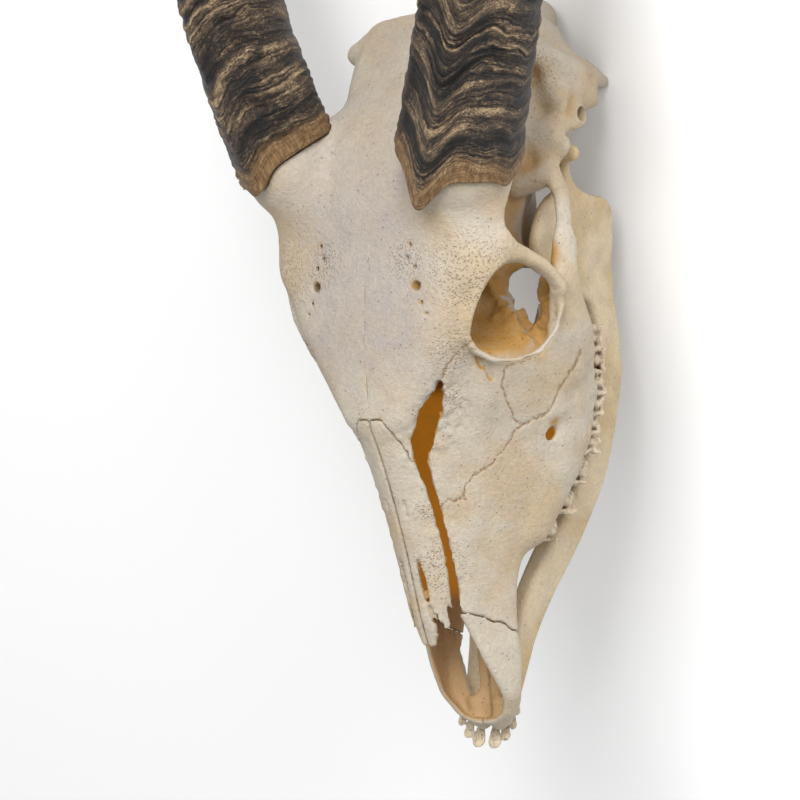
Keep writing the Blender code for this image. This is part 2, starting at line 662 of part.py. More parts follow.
def jaw_volume(step):
    """The left half of the lower jaw with its cheek teeth."""
    volume = Volume((-4, -262, -184), (84, 96, -62), step)
    x, y, z = volume.axes
    ys = sorted(JAW_PLACE)
    middle = curve_through(ys, [JAW_PLACE[k][0] for k in ys], y)
    half = curve_through(ys, [JAW_PLACE[k][1] for k in ys], y)
    flat = outline_distance(rounded(JAW_OUTLINE), y[:, None], z[None, :])
    lean = JAW_LEAN * (z[None, :] + 120) * np.clip((y[:, None] + 40) / 60, 0, 1)
    swell = 1 - 0.22 * np.clip((-150 - z[None, :]) / 25, 0, 1)
    place = middle[:, None] + lean
    across = (np.abs(x[:, None, None] - place[None]) - (half[:, None] * swell)[None]) * 0.96
    volume.d = smooth_max(across, flat[None], 5.0).astype(np.float32)
    condyle = [(54.5, 77, -103), (60, 77, -101.5), (65.5, 76.5, -102.5)]
    volume.add(rod(condyle, [3.8, 4.6, 4], ((0, 1, 0), 0.9)), 5.0)
    volume.cut(rod([(52, 20, -128), (55, 34, -146)], [14, 12], ((1, 0, 0), 6.5)), 5.0)
    tooth_row(volume, upper=False)
    incisors(volume)
    volume.d = np.maximum(volume.d, GAP / 2 - x[:, None, None]).astype(np.float32)
    return volume


# The left front teeth from the middle outwards: x and y of the tip, and the crown's half breadth
INCISORS = ((5.6, -248.0, 4.8), (13.2, -244.5, 3.5), (18.2, -238.5, 2.8), (21.0, -231.0, 2.4))


def incisors(volume):
    """Front teeth: a narrow neck that opens into a flat, worn crown."""
    for x, y, half in INCISORS:
        root = (x * 0.62, y + 22, -122)
        neck = (x * 0.86, y + 10, -118)
        volume.add(rod([root, neck], [2.6, 2.2]), 1.5)
        volume.add(rod([neck, (x, y, -116.5)], [2.2, half], ((0, 0.35, 1), half / 1.7)), 1.0)


def closed_mesh(name, volume, whole, triangles):
    """The volume's surface as a Blender mesh with about that many triangles, kept to its largest body."""
    d = volume.d
    low = [axis[0] for axis in volume.axes]
    if whole:
        first = int(np.argmin(np.abs(volume.axes[0])))
        d = np.concatenate([d[:first:-1], d[first:]], axis=0)
        low[0] = -volume.axes[0][-1]
    grid = openvdb.FloatGrid(FAR)
    grid.copyFromArray(np.ascontiguousarray(d, np.float32))
    points, fours = grid.convertToQuads(0.0)
    points = np.asarray(points) * volume.step + np.array(low)
    threes = np.concatenate([fours[:, [0, 1, 2]], fours[:, [0, 2, 3]]])
    points, threes = largest_body(points, threes)
    mesh = bpy.data.meshes.new(name)
    mesh.from_pydata(points.tolist(), [], threes.tolist())
    thinned(mesh, triangles)
    return mesh


def largest_body(points, faces):
    """The connected part of the mesh that holds the most volume, without scraps or sealed hollows."""
    label = np.arange(len(points))
    while True:
        least = label[faces].min(axis=1)
        before = label.copy()
        for k in range(3):
            np.minimum.at(label, faces[:, k], least)
        label = label[label]
        if (label == before).all():
            break
    owner = label[faces[:, 0]]
    corners = points[faces]
    wedge = np.einsum("ij,ij->i", corners[:, 0], np.cross(corners[:, 1], corners[:, 2])) / 6
    names, index = np.unique(owner, return_inverse=True)
    volumes = np.bincount(index, weights=wedge)
    faces = faces[owner == names[np.abs(volumes).argmax()]]
    used, index = np.unique(faces, return_inverse=True)
    return points[used], index.reshape(-1, 3)


def thinned(mesh, triangles):
    """Simplifies the mesh to about that many triangles."""
    helper = bpy.data.objects.new("helper", mesh)
    bpy.context.collection.objects.link(helper)
    thin = helper.modifiers.new("thin", "DECIMATE")
    thin.ratio = min(1.0, triangles / len(mesh.polygons))
    graph = bpy.context.evaluated_depsgraph_get()
    result = bpy.data.meshes.new_from_object(helper.evaluated_get(graph))
    bpy.data.objects.remove(helper)
    work = bmesh.new()
    work.from_mesh(result)
    bmesh.ops.triangulate(work, faces=work.faces)
    work.to_mesh(mesh)
    work.free()
    bpy.data.meshes.remove(result)


def horn_mesh(point, grow=0.0):
    """A left horn: rings along its curve, from a slanting base to a closed tip, grown all round."""
    line, heading = horn_line(HORN_STEPS)
    angle = np.arange(HORN_SIDES) * 2 * math.pi / HORN_SIDES
    line[0] -= heading[0] * grow
    line[-1] += heading[-1] * grow
    work = bmesh.new()
    rings = []
    for i, (centre, ahead) in enumerate(zip(line, heading)):
        places = horn_places(i / (HORN_STEPS - 1), centre, ahead, angle, grow, point)
        rings.append([work.verts.new(p) for p in places])
    for a, b in zip(rings[:-1], rings[1:]):
        for j in range(HORN_SIDES):
            k = (j + 1) % HORN_SIDES
            work.faces.new((a[j], a[k], b[k], b[j]))
    ends = [(line[0], rings[0][::-1]), (line[-1] + heading[-1] * 2, rings[-1])]
    for middle, edge in ends:
        centre = work.verts.new(middle)
        for j in range(HORN_SIDES):
            work.faces.new((edge[j], edge[(j + 1) % HORN_SIDES], centre))
    bmesh.ops.recalc_face_normals(work, faces=work.faces)
    bmesh.ops.triangulate(work, faces=work.faces)
    mesh = bpy.data.meshes.new("horn")
    work.to_mesh(mesh)
    work.free()
    return mesh


def carved(mesh, cutters, operation="DIFFERENCE"):
    """The mesh cut by, or kept within, each of the cutters, as one clean closed body."""
    body = bpy.data.objects.new("body", mesh)
    bpy.context.collection.objects.link(body)
    tools = []
    for cutter in cutters:
        tool = bpy.data.objects.new("cutter", cutter)
        tool.hide_render = True
        tool.display_type = "WIRE"
        bpy.context.collection.objects.link(tool)
        cut = body.modifiers.new("cut", "BOOLEAN")
        cut.operation = operation
        cut.solver = "EXACT"
        cut.object = tool
        tools.append(tool)
    graph = bpy.context.evaluated_depsgraph_get()
    result = bpy.data.meshes.new_from_object(body.evaluated_get(graph))
    for obj in [body, *tools]:
        bpy.data.objects.remove(obj)
    work = bmesh.new()
    work.from_mesh(result)
    bmesh.ops.remove_doubles(work, verts=work.verts, dist=WELD)
    bmesh.ops.triangulate(work, faces=work.faces)
    work.to_mesh(result)
    work.free()
    points = np.array([v.co for v in result.vertices])
    faces = np.array([f.vertices for f in result.polygons])
    points, faces = largest_body(points, faces)
    clean = bpy.data.meshes.new(mesh.name)
    clean.from_pydata(points.tolist(), [], faces.tolist())
    return clean


def mirrored(mesh):
    """The mesh mirrored in the skull's midplane."""
    copy = mesh.copy()
    copy.transform(Matrix.Scale(-1, 4, Vector((1, 0, 0))))
    copy.flip_normals()
    return copy


def material(name, colour, roughness):
    made = bpy.data.materials.new(name)
    made.use_nodes = True
    shader = made.node_tree.nodes["Principled BSDF"]
    shader.inputs["Base Color"].default_value = (*colour, 1)
    shader.inputs["Roughness"].default_value = roughness
    return made


def rest_pose():
    """From the skull's own frame to the pose in which it lies on the floor, in millimetres."""
    return Matrix.Translation(REST_SHIFT) @ Matrix.Rotation(REST_TILT, 4, "X")


def node(name, mesh, colour, roughness, floor=False):
    """Lays a mesh down in the resting pose as a node with its own material."""
    mesh.transform(rest_pose())
    if floor:
        block = ((-400, -700), (400, -700), (400, 900), (-400, 900))
        mesh = carved(mesh, [prism("floor", np.array(block), -300, 0, 2)])
    mesh.transform(Matrix.Scale(MM, 4))
    mesh.shade_smooth()
    mesh.set_sharp_from_angle(angle=SHARP)
    mesh.name = name
    obj = bpy.data.objects.new(name, mesh)
    bpy.context.collection.objects.link(obj)
    obj.data.materials.append(material(name, colour, roughness))


BONE = (0.80, 0.72, 0.58)
JAW_BONE = (0.70, 0.60, 0.44)
SHEATH = (0.09, 0.075, 0.06)


def main():
    for obj in list(bpy.data.objects):
        bpy.data.objects.remove(obj)

    horn, horn_mirror = (horn_mesh(point) for point in RIM_POINTS)
    clearance, clearance_mirror = (horn_mesh(point, GAP) for point in RIM_POINTS)
    whole = closed_mesh("skull", cranium_volume(CRANIUM_STEP), True, CRANIUM_TRIANGLES)
    whole = carved(whole, [clearance, mirrored(clearance_mirror)])
    nasal = carved(whole.copy(), [nasal_prism()], "INTERSECT")
    nasal_mirror = carved(whole.copy(), [mirrored(nasal_prism())], "INTERSECT")
    whole = carved(whole, [nasal_clearance()])
    left = carved(whole.copy(), [muzzle_prism(GAP / 2, 60, 0)], "INTERSECT")
    right = carved(whole.copy(), [muzzle_prism(-60, -GAP / 2, 0)], "INTERSECT")
    cranium = carved(whole, [muzzle_prism(-60, 60, GAP)])

    node("cranium", cranium, BONE, 0.6, floor=True)
    node("nasal_left", nasal, BONE, 0.6)
    node("nasal_right", nasal_mirror, BONE, 0.6)
    node("premaxilla_left", left, BONE, 0.6)
    node("premaxilla_right", right, BONE, 0.6)

    slip = Matrix.Translation(JAW_PIVOT + Vector((JAW_SLIP, 0, 0))) @ Matrix.Rotation(JAW_SWING, 4, "Z")
    slip = slip @ Matrix.Translation(-JAW_PIVOT)
    jaw = closed_mesh("mandible", jaw_volume(JAW_STEP), False, JAW_TRIANGLES)
    jaw_mirror = mirrored(jaw)
    jaw.transform(slip)
    jaw_mirror.transform(slip)
    node("mandible_left", jaw, JAW_BONE, 0.55, floor=True)
    node("mandible_right", jaw_mirror, JAW_BONE, 0.55, floor=True)
    node("horn_left", horn, SHEATH, 0.55, floor=True)
    node("horn_right", mirrored(horn_mirror), SHEATH, 0.55, floor=True)


main()
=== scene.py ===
"""The looks of a bongo antelope skull: fine bone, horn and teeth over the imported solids.

The shapes repeat the part's own volumes on a finer grid, in the skull's own frame and in
millimetres: +X is the animal's left, +Y its tail, +Z up, and the origin lies on the forehead's
midline between the orbits. Sutures, pores, tooth crowns and growth ridges are added to them.
"""

import math

import bpy
import numpy as np
import openvdb
from mathutils import Matrix, Vector


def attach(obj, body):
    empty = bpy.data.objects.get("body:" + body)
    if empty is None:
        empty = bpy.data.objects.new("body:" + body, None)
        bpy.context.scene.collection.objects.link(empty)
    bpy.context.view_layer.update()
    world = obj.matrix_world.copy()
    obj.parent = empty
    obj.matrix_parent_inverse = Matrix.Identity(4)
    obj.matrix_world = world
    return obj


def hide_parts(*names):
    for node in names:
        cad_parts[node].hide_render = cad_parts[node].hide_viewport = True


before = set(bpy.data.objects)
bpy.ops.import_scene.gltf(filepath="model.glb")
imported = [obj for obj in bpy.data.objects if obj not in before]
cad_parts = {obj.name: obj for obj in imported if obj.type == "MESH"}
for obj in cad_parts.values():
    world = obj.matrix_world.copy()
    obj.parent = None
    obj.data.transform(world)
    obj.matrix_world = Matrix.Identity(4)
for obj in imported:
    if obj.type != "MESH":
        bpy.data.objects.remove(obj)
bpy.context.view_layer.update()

MM = 0.001
SIDES = ((1, "left"), (-1, "right"))
# The gap between two bodies, and a distance that counts as far away
GAP = 0.3
FAR = 60.0

# The boxes that hold the left half of the skull and of the lower jaw, each with its grid step
CRANIUM_GRID = ((-2.4, -248, -165), (90, 168, 26), 1.2)
JAW_GRID = ((-4, -262, -184), (84, 96, -62), 1.0)

# How the skull lies on the floor: tipped back and moved
REST_TILT = math.radians(-23.98)
REST_SHIFT = Vector((0.0, -223.6, 188.45))

# The lower jaw has slipped a little to the animal's right
JAW_SWING = math.radians(-1.0)
JAW_SLIP = -5.0
JAW_PIVOT = Vector((0.0, 82.0, -93.0))


def smooth_min(a, b, blend):
    """The union of two distances, with a fillet about as wide as blend."""
    if blend <= 0:
        return np.minimum(a, b)
    near = np.maximum(blend - np.abs(a - b), 0) / blend
    return np.minimum(a, b) - near * near * blend / 4


def smooth_max(a, b, blend):
    return -smooth_min(-a, -b, blend)


def curve_through(knots, values, at):
    """A smooth curve through the knots that doesn't overshoot them, read at the given places."""
    order = np.argsort(knots)
    x = np.asarray(knots, float)[order]
    v = np.asarray(values, float)[order]
    step = np.diff(x)
    slope = np.diff(v) / step
    tangent = np.zeros(len(x))
    same_way = slope[:-1] * slope[1:] > 0
    mean = 2 * slope[:-1] * slope[1:] / np.where(same_way, slope[:-1] + slope[1:], 1)
    tangent[1:-1] = np.where(same_way, mean, 0)
    tangent[0], tangent[-1] = slope[0], slope[-1]
    at = np.clip(at, x[0], x[-1])
    i = np.clip(np.searchsorted(x, at) - 1, 0, len(step) - 1)
    t = (at - x[i]) / step[i]
    return (
        v[i] * (1 + 2 * t) * (1 - t) ** 2
        + v[i + 1] * t * t * (3 - 2 * t)
        + step[i] * (tangent[i] * t * (1 - t) ** 2 - tangent[i + 1] * t * t * (1 - t))
    )


def track(table, y, *place):
    """The value at that place of each of the table's rows, as a smooth curve read at y."""
    values = list(table.values())
    for i in place:
        values = [value[i] for value in values]
    return curve_through(list(table), values, y)


class Volume:
    """Distances to a surface, negative inside it, on a grid in millimetres."""

    def __init__(self, low, high, step):
        self.step = step
        self.axes = [np.arange(a, b + step, step, dtype=np.float32) for a, b in zip(low, high)]
        self.d = np.full([len(a) for a in self.axes], FAR, np.float32)

    def window(self, low, high):
        """The part of the grid that holds the box, and its coordinates."""
        where = []
        for axis, a, b in zip(self.axes, low, high):
            i = int(np.searchsorted(axis, a))
            j = int(np.searchsorted(axis, b))
            where.append(slice(max(i - 1, 0), min(j + 1, len(axis))))
        x, y, z = (axis[w] for axis, w in zip(self.axes, where))
        return tuple(where), x[:, None, None], y[None, :, None], z[None, None, :]

    def add(self, shape, blend, sign=1):
        low, high, distance = shape
        where, x, y, z = self.window(low - blend, high + blend)
        if self.d[where].size:
            self.d[where] = sign * smooth_min(sign * self.d[where], distance(x, y, z), blend)

    def cut(self, shape, blend):
        self.add(shape, blend, sign=-1)


def ellipsoid(centre, radii):
    c = np.asarray(centre, float)
    r = np.asarray(radii, float)
    reach = r.max() + 1

    def distance(x, y, z):
        q = ((x - c[0]) / r[0], (y - c[1]) / r[1], (z - c[2]) / r[2])
        return (np.sqrt(q[0] ** 2 + q[1] ** 2 + q[2] ** 2) - 1) * r.min()

    return c - reach, c + reach, distance


def rod(points, radii, flat=None):
    """A bar through the points, with a radius at each. flat is (direction, factor): thinner that way."""
    p = np.asarray(points, float)
    r = np.asarray(radii, float)
    reach = r.max() + 1
    if flat is not None:
        thin = np.asarray(flat[0], float) / np.linalg.norm(flat[0])
        more = flat[1] ** 2 - 1

    def distance(x, y, z):
        best = None
        for a, b, ra, rb in zip(p[:-1], p[1:], r[:-1], r[1:]):
            ab = b - a
            t = ((x - a[0]) * ab[0] + (y - a[1]) * ab[1] + (z - a[2]) * ab[2]) / (ab @ ab)
            t = np.clip(t, 0, 1)
            q = (x - a[0] - t * ab[0], y - a[1] - t * ab[1], z - a[2] - t * ab[2])
            square = q[0] ** 2 + q[1] ** 2 + q[2] ** 2
            if flat is not None:
                square = square + more * (q[0] * thin[0] + q[1] * thin[1] + q[2] * thin[2]) ** 2
            d = np.sqrt(square) - (ra + (rb - ra) * t)
            best = d if best is None else np.minimum(best, d)
        return best

    return p.min(0) - reach, p.max(0) + reach, distance


def outline_distance(outline, y, z):
    """Distance from points of the YZ plane to a closed outline, negative inside."""
    best = np.full(np.broadcast(y, z).shape, 1e9)
    inside = np.zeros(best.shape, bool)
    for (ay, az), (by, bz) in zip(outline, np.roll(outline, -1, axis=0)):
        ey, ez = by - ay, bz - az
        t = np.clip(((y - ay) * ey + (z - az) * ez) / (ey * ey + ez * ez), 0, 1)
        best = np.minimum(best, (y - ay - t * ey) ** 2 + (z - az - t * ez) ** 2)
        spans = (az > z) != (bz > z)
        crossing = ay + (z - az) * ey / (ez if ez else 1e-9)
        inside ^= spans & (y < crossing)
    return np.where(inside, -1, 1) * np.sqrt(best)


def rounded(outline, times=2):
    """The outline with its corners cut, twice by default, so that it reads as a smooth curve."""
    points = np.asarray(outline, float)
    for _ in range(times):
        ahead = np.roll(points, -1, axis=0)
        points = np.stack([0.75 * points + 0.25 * ahead, 0.25 * points + 0.75 * ahead], axis=1)
        points = points.reshape(-1, 2)
    return points


# Cross-sections of the skull's trunk from the occiput to the muzzle. Each holds, at one y, the height of
# the roof on the midline, then five (half width, height) points down the side to the base or palate.
SECTIONS = {
    152: (-61, (36, -62), (54, -72), (50, -95), (38, -115), (16, -128)),
    140: (-49, (46, -52), (58, -66), (55, -90), (44, -115), (18, -128)),
    120: (-33, (44, -38), (54, -56), (54, -85), (48, -108), (18, -126)),
    95: (-14, (40, -24), (48, -52), (52, -80), (46, -103), (18, -122)),
    70: (-1, (46, -12), (44, -45), (47, -75), (46, -98), (20, -118)),
    45: (2, (46, -6), (38, -40), (40, -70), (45, -94), (20, -113)),
    20: (0, (48, -6), (33, -36), (34, -68), (42, -91), (20, -109)),
    0: (0, (50, -8), (34, -38), (38, -72), (34, -96), (28, -110)),
    -20: (0, (52, -12), (50, -40), (60, -72), (54, -98), (52, -113)),
    -38: (-1, (44, -14), (60, -45), (66, -72), (61, -98), (55, -112)),
    -55: (-2, (34, -14), (53, -45), (61, -76), (60, -99), (54, -112)),
    -75: (-5, (25, -19), (43, -45), (53, -78), (57, -99), (53, -111)),
    -100: (-16, (21, -29), (34, -50), (45, -80), (49, -97), (46, -109)),
    -131: (-29, (18, -40), (27, -58), (34, -82), (36, -95), (33, -105)),
    -160: (-39, (16, -49), (22, -64), (27, -84), (28, -94), (25, -102)),
    -180: (-46, (15, -56), (20, -68), (25, -86), (27, -96), (24, -103)),
    -200: (-55, (16, -64), (21, -74), (26, -88), (28, -98), (24, -106)),
    -220: (-68, (17, -76), (22, -84), (26, -94), (26, -102), (20, -109)),
    -232: (-84, (15, -90), (19, -94), (21, -100), (20, -106), (14, -111)),
    -240: (-97, (8, -100), (11, -103), (12, -106), (10, -109), (6, -112)),
}
WALL = 3.8
CAVITY_BACK = -32.0

# The forehead's plate over the orbits: half width and how far its edge lies below the midline, at each y
SHIELD = {
    100: (42, 12),
    80: (62, 9),
    60: (76, 13),
    40: (78, 18),
    22: (79, 21),
    8: (74, 14),
    -5: (64, 11),
    -16: (59, 11),
    -38: (47, 14),
    -54: (36, 14),
    -75: (22, 13),
}
SHIELD_DEPTH = 12.0

# The edge of the left eye socket, from the top forwards and round, and the way it faces
ORBIT_RIM = np.array((
    (69, 7, -20), (65.5, -5, -16), (61.5, -15, -15), (57, -25, -17.5), (58, -32, -24), (62, -36, -33),
    (69, -35.5, -44), (74, -31, -56), (78, -20, -64), (79, -8, -67), (77, 4, -61), (75, 11, -50),
    (74, 14.5, -38), (71.5, 12.5, -27),
))
ORBIT = ORBIT_RIM.mean(axis=0)
ORBIT_FACING = np.array((0.952, -0.20, 0.23))
ORBIT_FACING /= np.linalg.norm(ORBIT_FACING)
ORBIT_DEPTH = 52.0
ORBIT_APEX = 95.0
RIM_OUT = 1.04
RIM_THICK = 2.4

# The horns: where the core leaves the forehead, and how the curve turns as it runs back
HORN_ROOT = np.array((60.0, 71.5, -5.2))
HORN_LENGTH = 690.0
HORN_OUT = (0.10, 0.19)
HORN_UP = (0.31, 0.26)
HORN_SWAY = 0.27
HORN_TURN = np.radians((-14.0, -278.0))
HORN_BROAD = 34.5
HORN_NARROW = 29.3
HORN_LEAN = math.radians(-35.0)
HORN_KEEL = math.radians(118.0)
# The plane of the sheath's rim, the length over which the rings straighten up behind it, and how far
# the keel runs on past the rim, on the left and on the right
RIM_FACING = np.array((0.414, 0.836, 0.363))
RIM_REACH = 60.0
RIM_POINTS = (19.0, 8.0)


def horn_line(count):
    """Points along the left horn's middle, from its root, and the direction at each."""
    t = np.linspace(0, 1, count)
    turn = HORN_TURN[0] + (HORN_TURN[1] - HORN_TURN[0]) * t
    out = HORN_OUT[0] + (HORN_OUT[1] - HORN_OUT[0]) * t
    up = HORN_UP[0] + (HORN_UP[1] - HORN_UP[0]) * t
    aside, above = out + HORN_SWAY * np.cos(turn), up + HORN_SWAY * np.sin(turn)
    heading = np.stack([aside, np.ones(count), above], axis=1)
    heading /= np.linalg.norm(heading, axis=1)[:, None]
    steps = (heading[1:] + heading[:-1]) / 2 * HORN_LENGTH / (count - 1)
    return HORN_ROOT + np.vstack([np.zeros(3), np.cumsum(steps, axis=0)]), heading


def horn_taper(t):
    """The horn's thickness as a share of its base: it thins slowly, then runs to a blunt tip."""
    return (1 - 0.60 * t**1.2) * math.sqrt(max(1 - max((t - 0.70) / 0.305, 0) ** 2, 0.003))


def bump(angle, centre, width):
    """A smooth swelling round one angle."""
    away = (angle - centre + math.pi) % (2 * math.pi) - math.pi
    return np.exp(-((away / width) ** 2))


def horn_radius(angle, t):
    """The horn's section: an oval with a keel in front and a lesser one behind."""
    oval = 1 / np.sqrt((np.cos(angle) / HORN_BROAD) ** 2 + (np.sin(angle) / HORN_NARROW) ** 2)
    keels = 3.0 * bump(angle, HORN_KEEL, 0.32) + 1.5 * bump(angle, HORN_KEEL + math.pi, 0.4)
    return (oval + keels) * horn_taper(t)


def horn_places(t, centre, ahead, angle, point):
    """Points round one section of the left horn, slid along it near the base to meet the slanting rim."""
    across = np.cross(ahead, (0, 0, 1))
    across /= np.linalg.norm(across)
    up = np.cross(across, ahead)
    lean = HORN_LEAN + (HORN_TURN[1] - HORN_TURN[0]) * t**1.35
    radius = horn_radius(angle, t)
    spread = np.outer(radius * np.cos(angle + lean), across) + np.outer(radius * np.sin(angle + lean), up)
    slide = -(spread @ RIM_FACING) / (ahead @ RIM_FACING)
    slide -= point * bump(angle, HORN_KEEL, 0.32) + 5.0 * bump(angle, math.radians(28), 0.2)
    slide *= max(1 - t * HORN_LENGTH / RIM_REACH, 0)
    return centre + spread + np.outer(slide, ahead)


def roof(y):
    """Height of the skull's roof on the midline."""
    return track(SECTIONS, y, 0)


def trunk(volume):
    """The braincase and the face as one body lofted through SECTIONS. Returns its own distances."""
    x, y, z = volume.axes
    roof_mid = roof(y)
    width = [track(SECTIONS, y, i, 0) for i in range(1, 6)]
    height = [track(SECTIONS, y, i, 1) for i in range(1, 6)]
    side = np.empty((len(y), len(z)))
    for j in range(len(y)):
        heights = [height[i][j] for i in range(4, -1, -1)]
        widths = [width[i][j] for i in range(4, -1, -1)]
        side[j] = np.interp(z, heights, widths)
    smooth = max(1, round(6.0 / volume.step)) | 1
    padded = np.pad(side, ((0, 0), (smooth // 2, smooth // 2)), mode="edge")
    side = sum(padded[:, i : i + len(z)] for i in range(smooth)) / smooth
    by_y, by_z = np.gradient(side, volume.step)
    flank = (x[:, None, None] - side[None]) / np.sqrt(1 + by_y**2 + by_z**2)[None]
    fall = (roof_mid - height[0]) / width[0] ** 2
    roof_height = roof_mid[None, :] - fall[None, :] * x[:, None] ** 2
    by_x, by_y = np.gradient(roof_height, volume.step)
    above = (z[None, None, :] - roof_height[:, :, None]) / np.sqrt(1 + by_x**2 + by_y**2)[:, :, None]
    floor = height[4][None, :, None] - z[None, None, :]
    body = smooth_max(smooth_max(flank, above, 7.0), floor, 8.0)
    back = y[None, :, None] - (152 + 0.06 * (z[None, None, :] + 62))
    front = -238.5 - y[None, :, None]
    return smooth_max(smooth_max(body, back, 7.0), front, 3.0).astype(np.float32)


def shield(volume):
    """The forehead's plate, which overhangs the orbits and the temples."""

    def distance(x, y, z):
        half = track(SHIELD, y[0, :, 0], 0)[None, :, None]
        drop = track(SHIELD, y[0, :, 0], 1)[None, :, None]
        mid = roof(y[0, :, 0])[None, :, None]
        top = mid - drop * (x / half) ** 7
        body = smooth_max(z - top, top - SHIELD_DEPTH - z, 6.0)
        body = smooth_max(body, (x - half) * 0.9, 9.0)
        return smooth_max(body, np.maximum(y - 98, -76 - y), 8.0)

    volume.add((np.array((0, -78, -52)), np.array((86, 100, 12)), distance), 9.0)


def pedicle(volume):
    """The bony core that runs up into the horn."""
    ahead = horn_line(2)[1][0]
    across = np.cross(ahead, (0, 0, 1))
    across /= np.linalg.norm(across)
    narrow = -math.sin(HORN_LEAN) * across + math.cos(HORN_LEAN) * np.cross(across, ahead)
    core = [HORN_ROOT - ahead * 50 - (9, 0, 12), HORN_ROOT - ahead * 4, HORN_ROOT + ahead * 30]
    volume.add(rod(core, [20, 30, 31], (narrow, HORN_BROAD / HORN_NARROW)), 9.0)


def socket():
    """The eye socket as a cone that narrows inwards from its rim."""
    along = np.cross(ORBIT_FACING, (0, 1, 0))
    along /= np.linalg.norm(along)
    beside = np.cross(ORBIT_FACING, along)
    outline = np.stack([(ORBIT_RIM - ORBIT) @ along, (ORBIT_RIM - ORBIT) @ beside], axis=1)
    outline = rounded(outline, 1)

    def distance(x, y, z):
        p = (x - ORBIT[0], y - ORBIT[1], z - ORBIT[2])
        u, v, w = (p[0] * n[0] + p[1] * n[1] + p[2] * n[2] for n in (along, beside, ORBIT_FACING))
        scale = np.clip(1 + w / ORBIT_APEX, 0.3, 1.15)
        side = outline_distance(outline, u / scale, v / scale) * scale
        return smooth_max(side, -w - ORBIT_DEPTH, 12.0)

    return ORBIT - (ORBIT_DEPTH + 10, 42, 42), ORBIT + (22, 42, 42), distance


def orbit(volume):
    """The rim of the socket, the bar behind it and the cheek bone below."""
    rim = ORBIT + (ORBIT_RIM - ORBIT) * RIM_OUT
    volume.add(rod(np.vstack([rim, rim[:1]]), [RIM_THICK] * (len(rim) + 1)), 7.0)
    volume.add(rod([(72, 24, -24), (76, 19, -41), (79, 13, -53), (79.5, 2, -65)], [6, 4, 4, 5.5]), 6.0)
    volume.add(
        rod(
            [(58, -60, -92), (63, -44, -86), (71, -22, -78), (76, 6, -74), (75.5, 24, -77)],
            [7, 8, 7.5, 7, 6.5],
            ((1, 0, 0.3), 1.6),
        ),
        8.0,
    )
    flare = [(74, 10, -79), (72.5, -2, -86), (71, -18, -97), (64, -32, -107)]
    volume.add(rod(flare, [5, 5, 5.5, 7]), 8.0)
    above = [(73, 4, -80), (71, -12, -86), (67, -26, -93), (61, -42, -100)]
    volume.add(rod(above, [5, 7, 7.5, 8]), 8.0)
    volume.cut(socket(), 3.0)
    volume.cut(rod([(50, 2, -46), (52, 32, -50)], [17, 16]), 7.0)
    volume.cut(rod([(57, 24, -66), (58, 52, -66)], [13, 15]), 7.0)
    volume.add(rod([(62, -7, -83), (60, -18, -85), (58, -30, -86)], [6, 7.5, 7]), 5.0)


def socket_floor(volume):
    """The wide gap in the socket's floor, which opens through to the space between the jaws."""
    tall = [(64, -8, -59), (38, -8, -90), (8, -8, -126)]
    volume.cut(rod(tall, [14, 14, 14], ((0.766, 0, -0.643), 2.2)), 3.0)
    wide = [(64.5, 4, -60), (38.5, 4, -91), (8.5, 4, -127)]
    volume.cut(rod(wide, [11, 11, 11], ((0, 1, 0), 1.15)), 3.0)


def zygoma(volume):
    """The cheek arch from the orbit back to its root over the jaw joint."""
    arch = [(74.5, 20, -77), (74, 37, -78), (71, 51, -80), (60, 66, -83), (54, 78, -86)]
    volume.add(rod(arch, [6.2, 5.4, 5.4, 6.5, 8], ((1, -0.3, 0.2), 2.0)), 8.0)
    volume.add(rod([(40, 70, -78), (49, 65, -87)], [10, 8.5]), 7.0)
    volume.add(rod([(44, 60, -74), (55, 61, -78), (62, 64, -81)], [10, 7, 5], ((0, 0, 1), 1.3)), 5.0)
    volume.add(rod([(40, 84, -83), (57, 83, -85), (64, 79, -87)], [11, 10, 6.5], ((0, 0, 1), 1.35)), 9.0)
    volume.add(rod([(56, 90, -88), (62, 91, -97), (61, 92, -104)], [6, 5, 4.5], ((0.3, 1, 0), 1.3)), 5.0)


def ear_region(volume):
    """The ridge over the ear, the mastoid, the ear's tube, the bulla and the process behind it."""
    ridge = [(59, 132, -62), (59, 124, -75), (60, 110, -83), (62, 100, -89), (59, 90, -90)]
    volume.add(rod(ridge, [3.5, 3, 3, 3.5, 5]), 6.0)
    mastoid = [(55, 132, -60), (60, 128, -84), (56, 122, -108)]
    volume.add(rod(mastoid, [4, 5.5, 7], ((0.5, 1, 0), 1.3)), 10.0)
    volume.add(rod([(54, 112, -92), (52, 108, -118), (49, 107, -132)], [12, 10, 6]), 10.0)
    volume.add(rod([(44, 126, -108), (46, 120, -132), (43, 117, -151)], [10, 7.5, 4]), 8.0)
    volume.add(rod([(36, 99, -100), (62, 97, -103)], [9, 6.5]), 5.0)
    volume.cut(rod([(52, 98, -102.5), (72, 96, -104)], [3.6, 4.0]), 1.5)
    volume.add(ellipsoid((31, 98, -125), (10, 17, 13)), 7.0)


def occiput(volume):
    """The condyles round the hole for the spinal cord, and the crest above it."""
    volume.add(rod([(0, 148, -61), (36, 143, -60), (54, 132, -60)], [6, 5, 4], ((0, 0.5, 1), 1.3)), 8.0)
    volume.add(ellipsoid((18, 150, -122), (12, 13, 15)), 7.0)
    volume.cut(rod([(0, 165, -109), (0, 120, -100)], [14, 12]), 4.0)


def skull_base(volume):
    """The passage behind the palate between two thin plates."""
    volume.cut(rod([(0, -22, -104), (0, 5, -107), (0, 40, -118)], [13, 13, 12]), 4.0)
    volume.cut(rod([(48, 6, -112), (44, 34, -104), (52, 60, -100)], [17, 18, 14]), 8.0)
    plate = [(21, -18, -108), (20, 8, -112), (20, 34, -112), (20, 56, -112)]
    volume.add(rod(plate, [9, 12, 11, 9], ((1, 0, 0), 3.6)), 3.0)


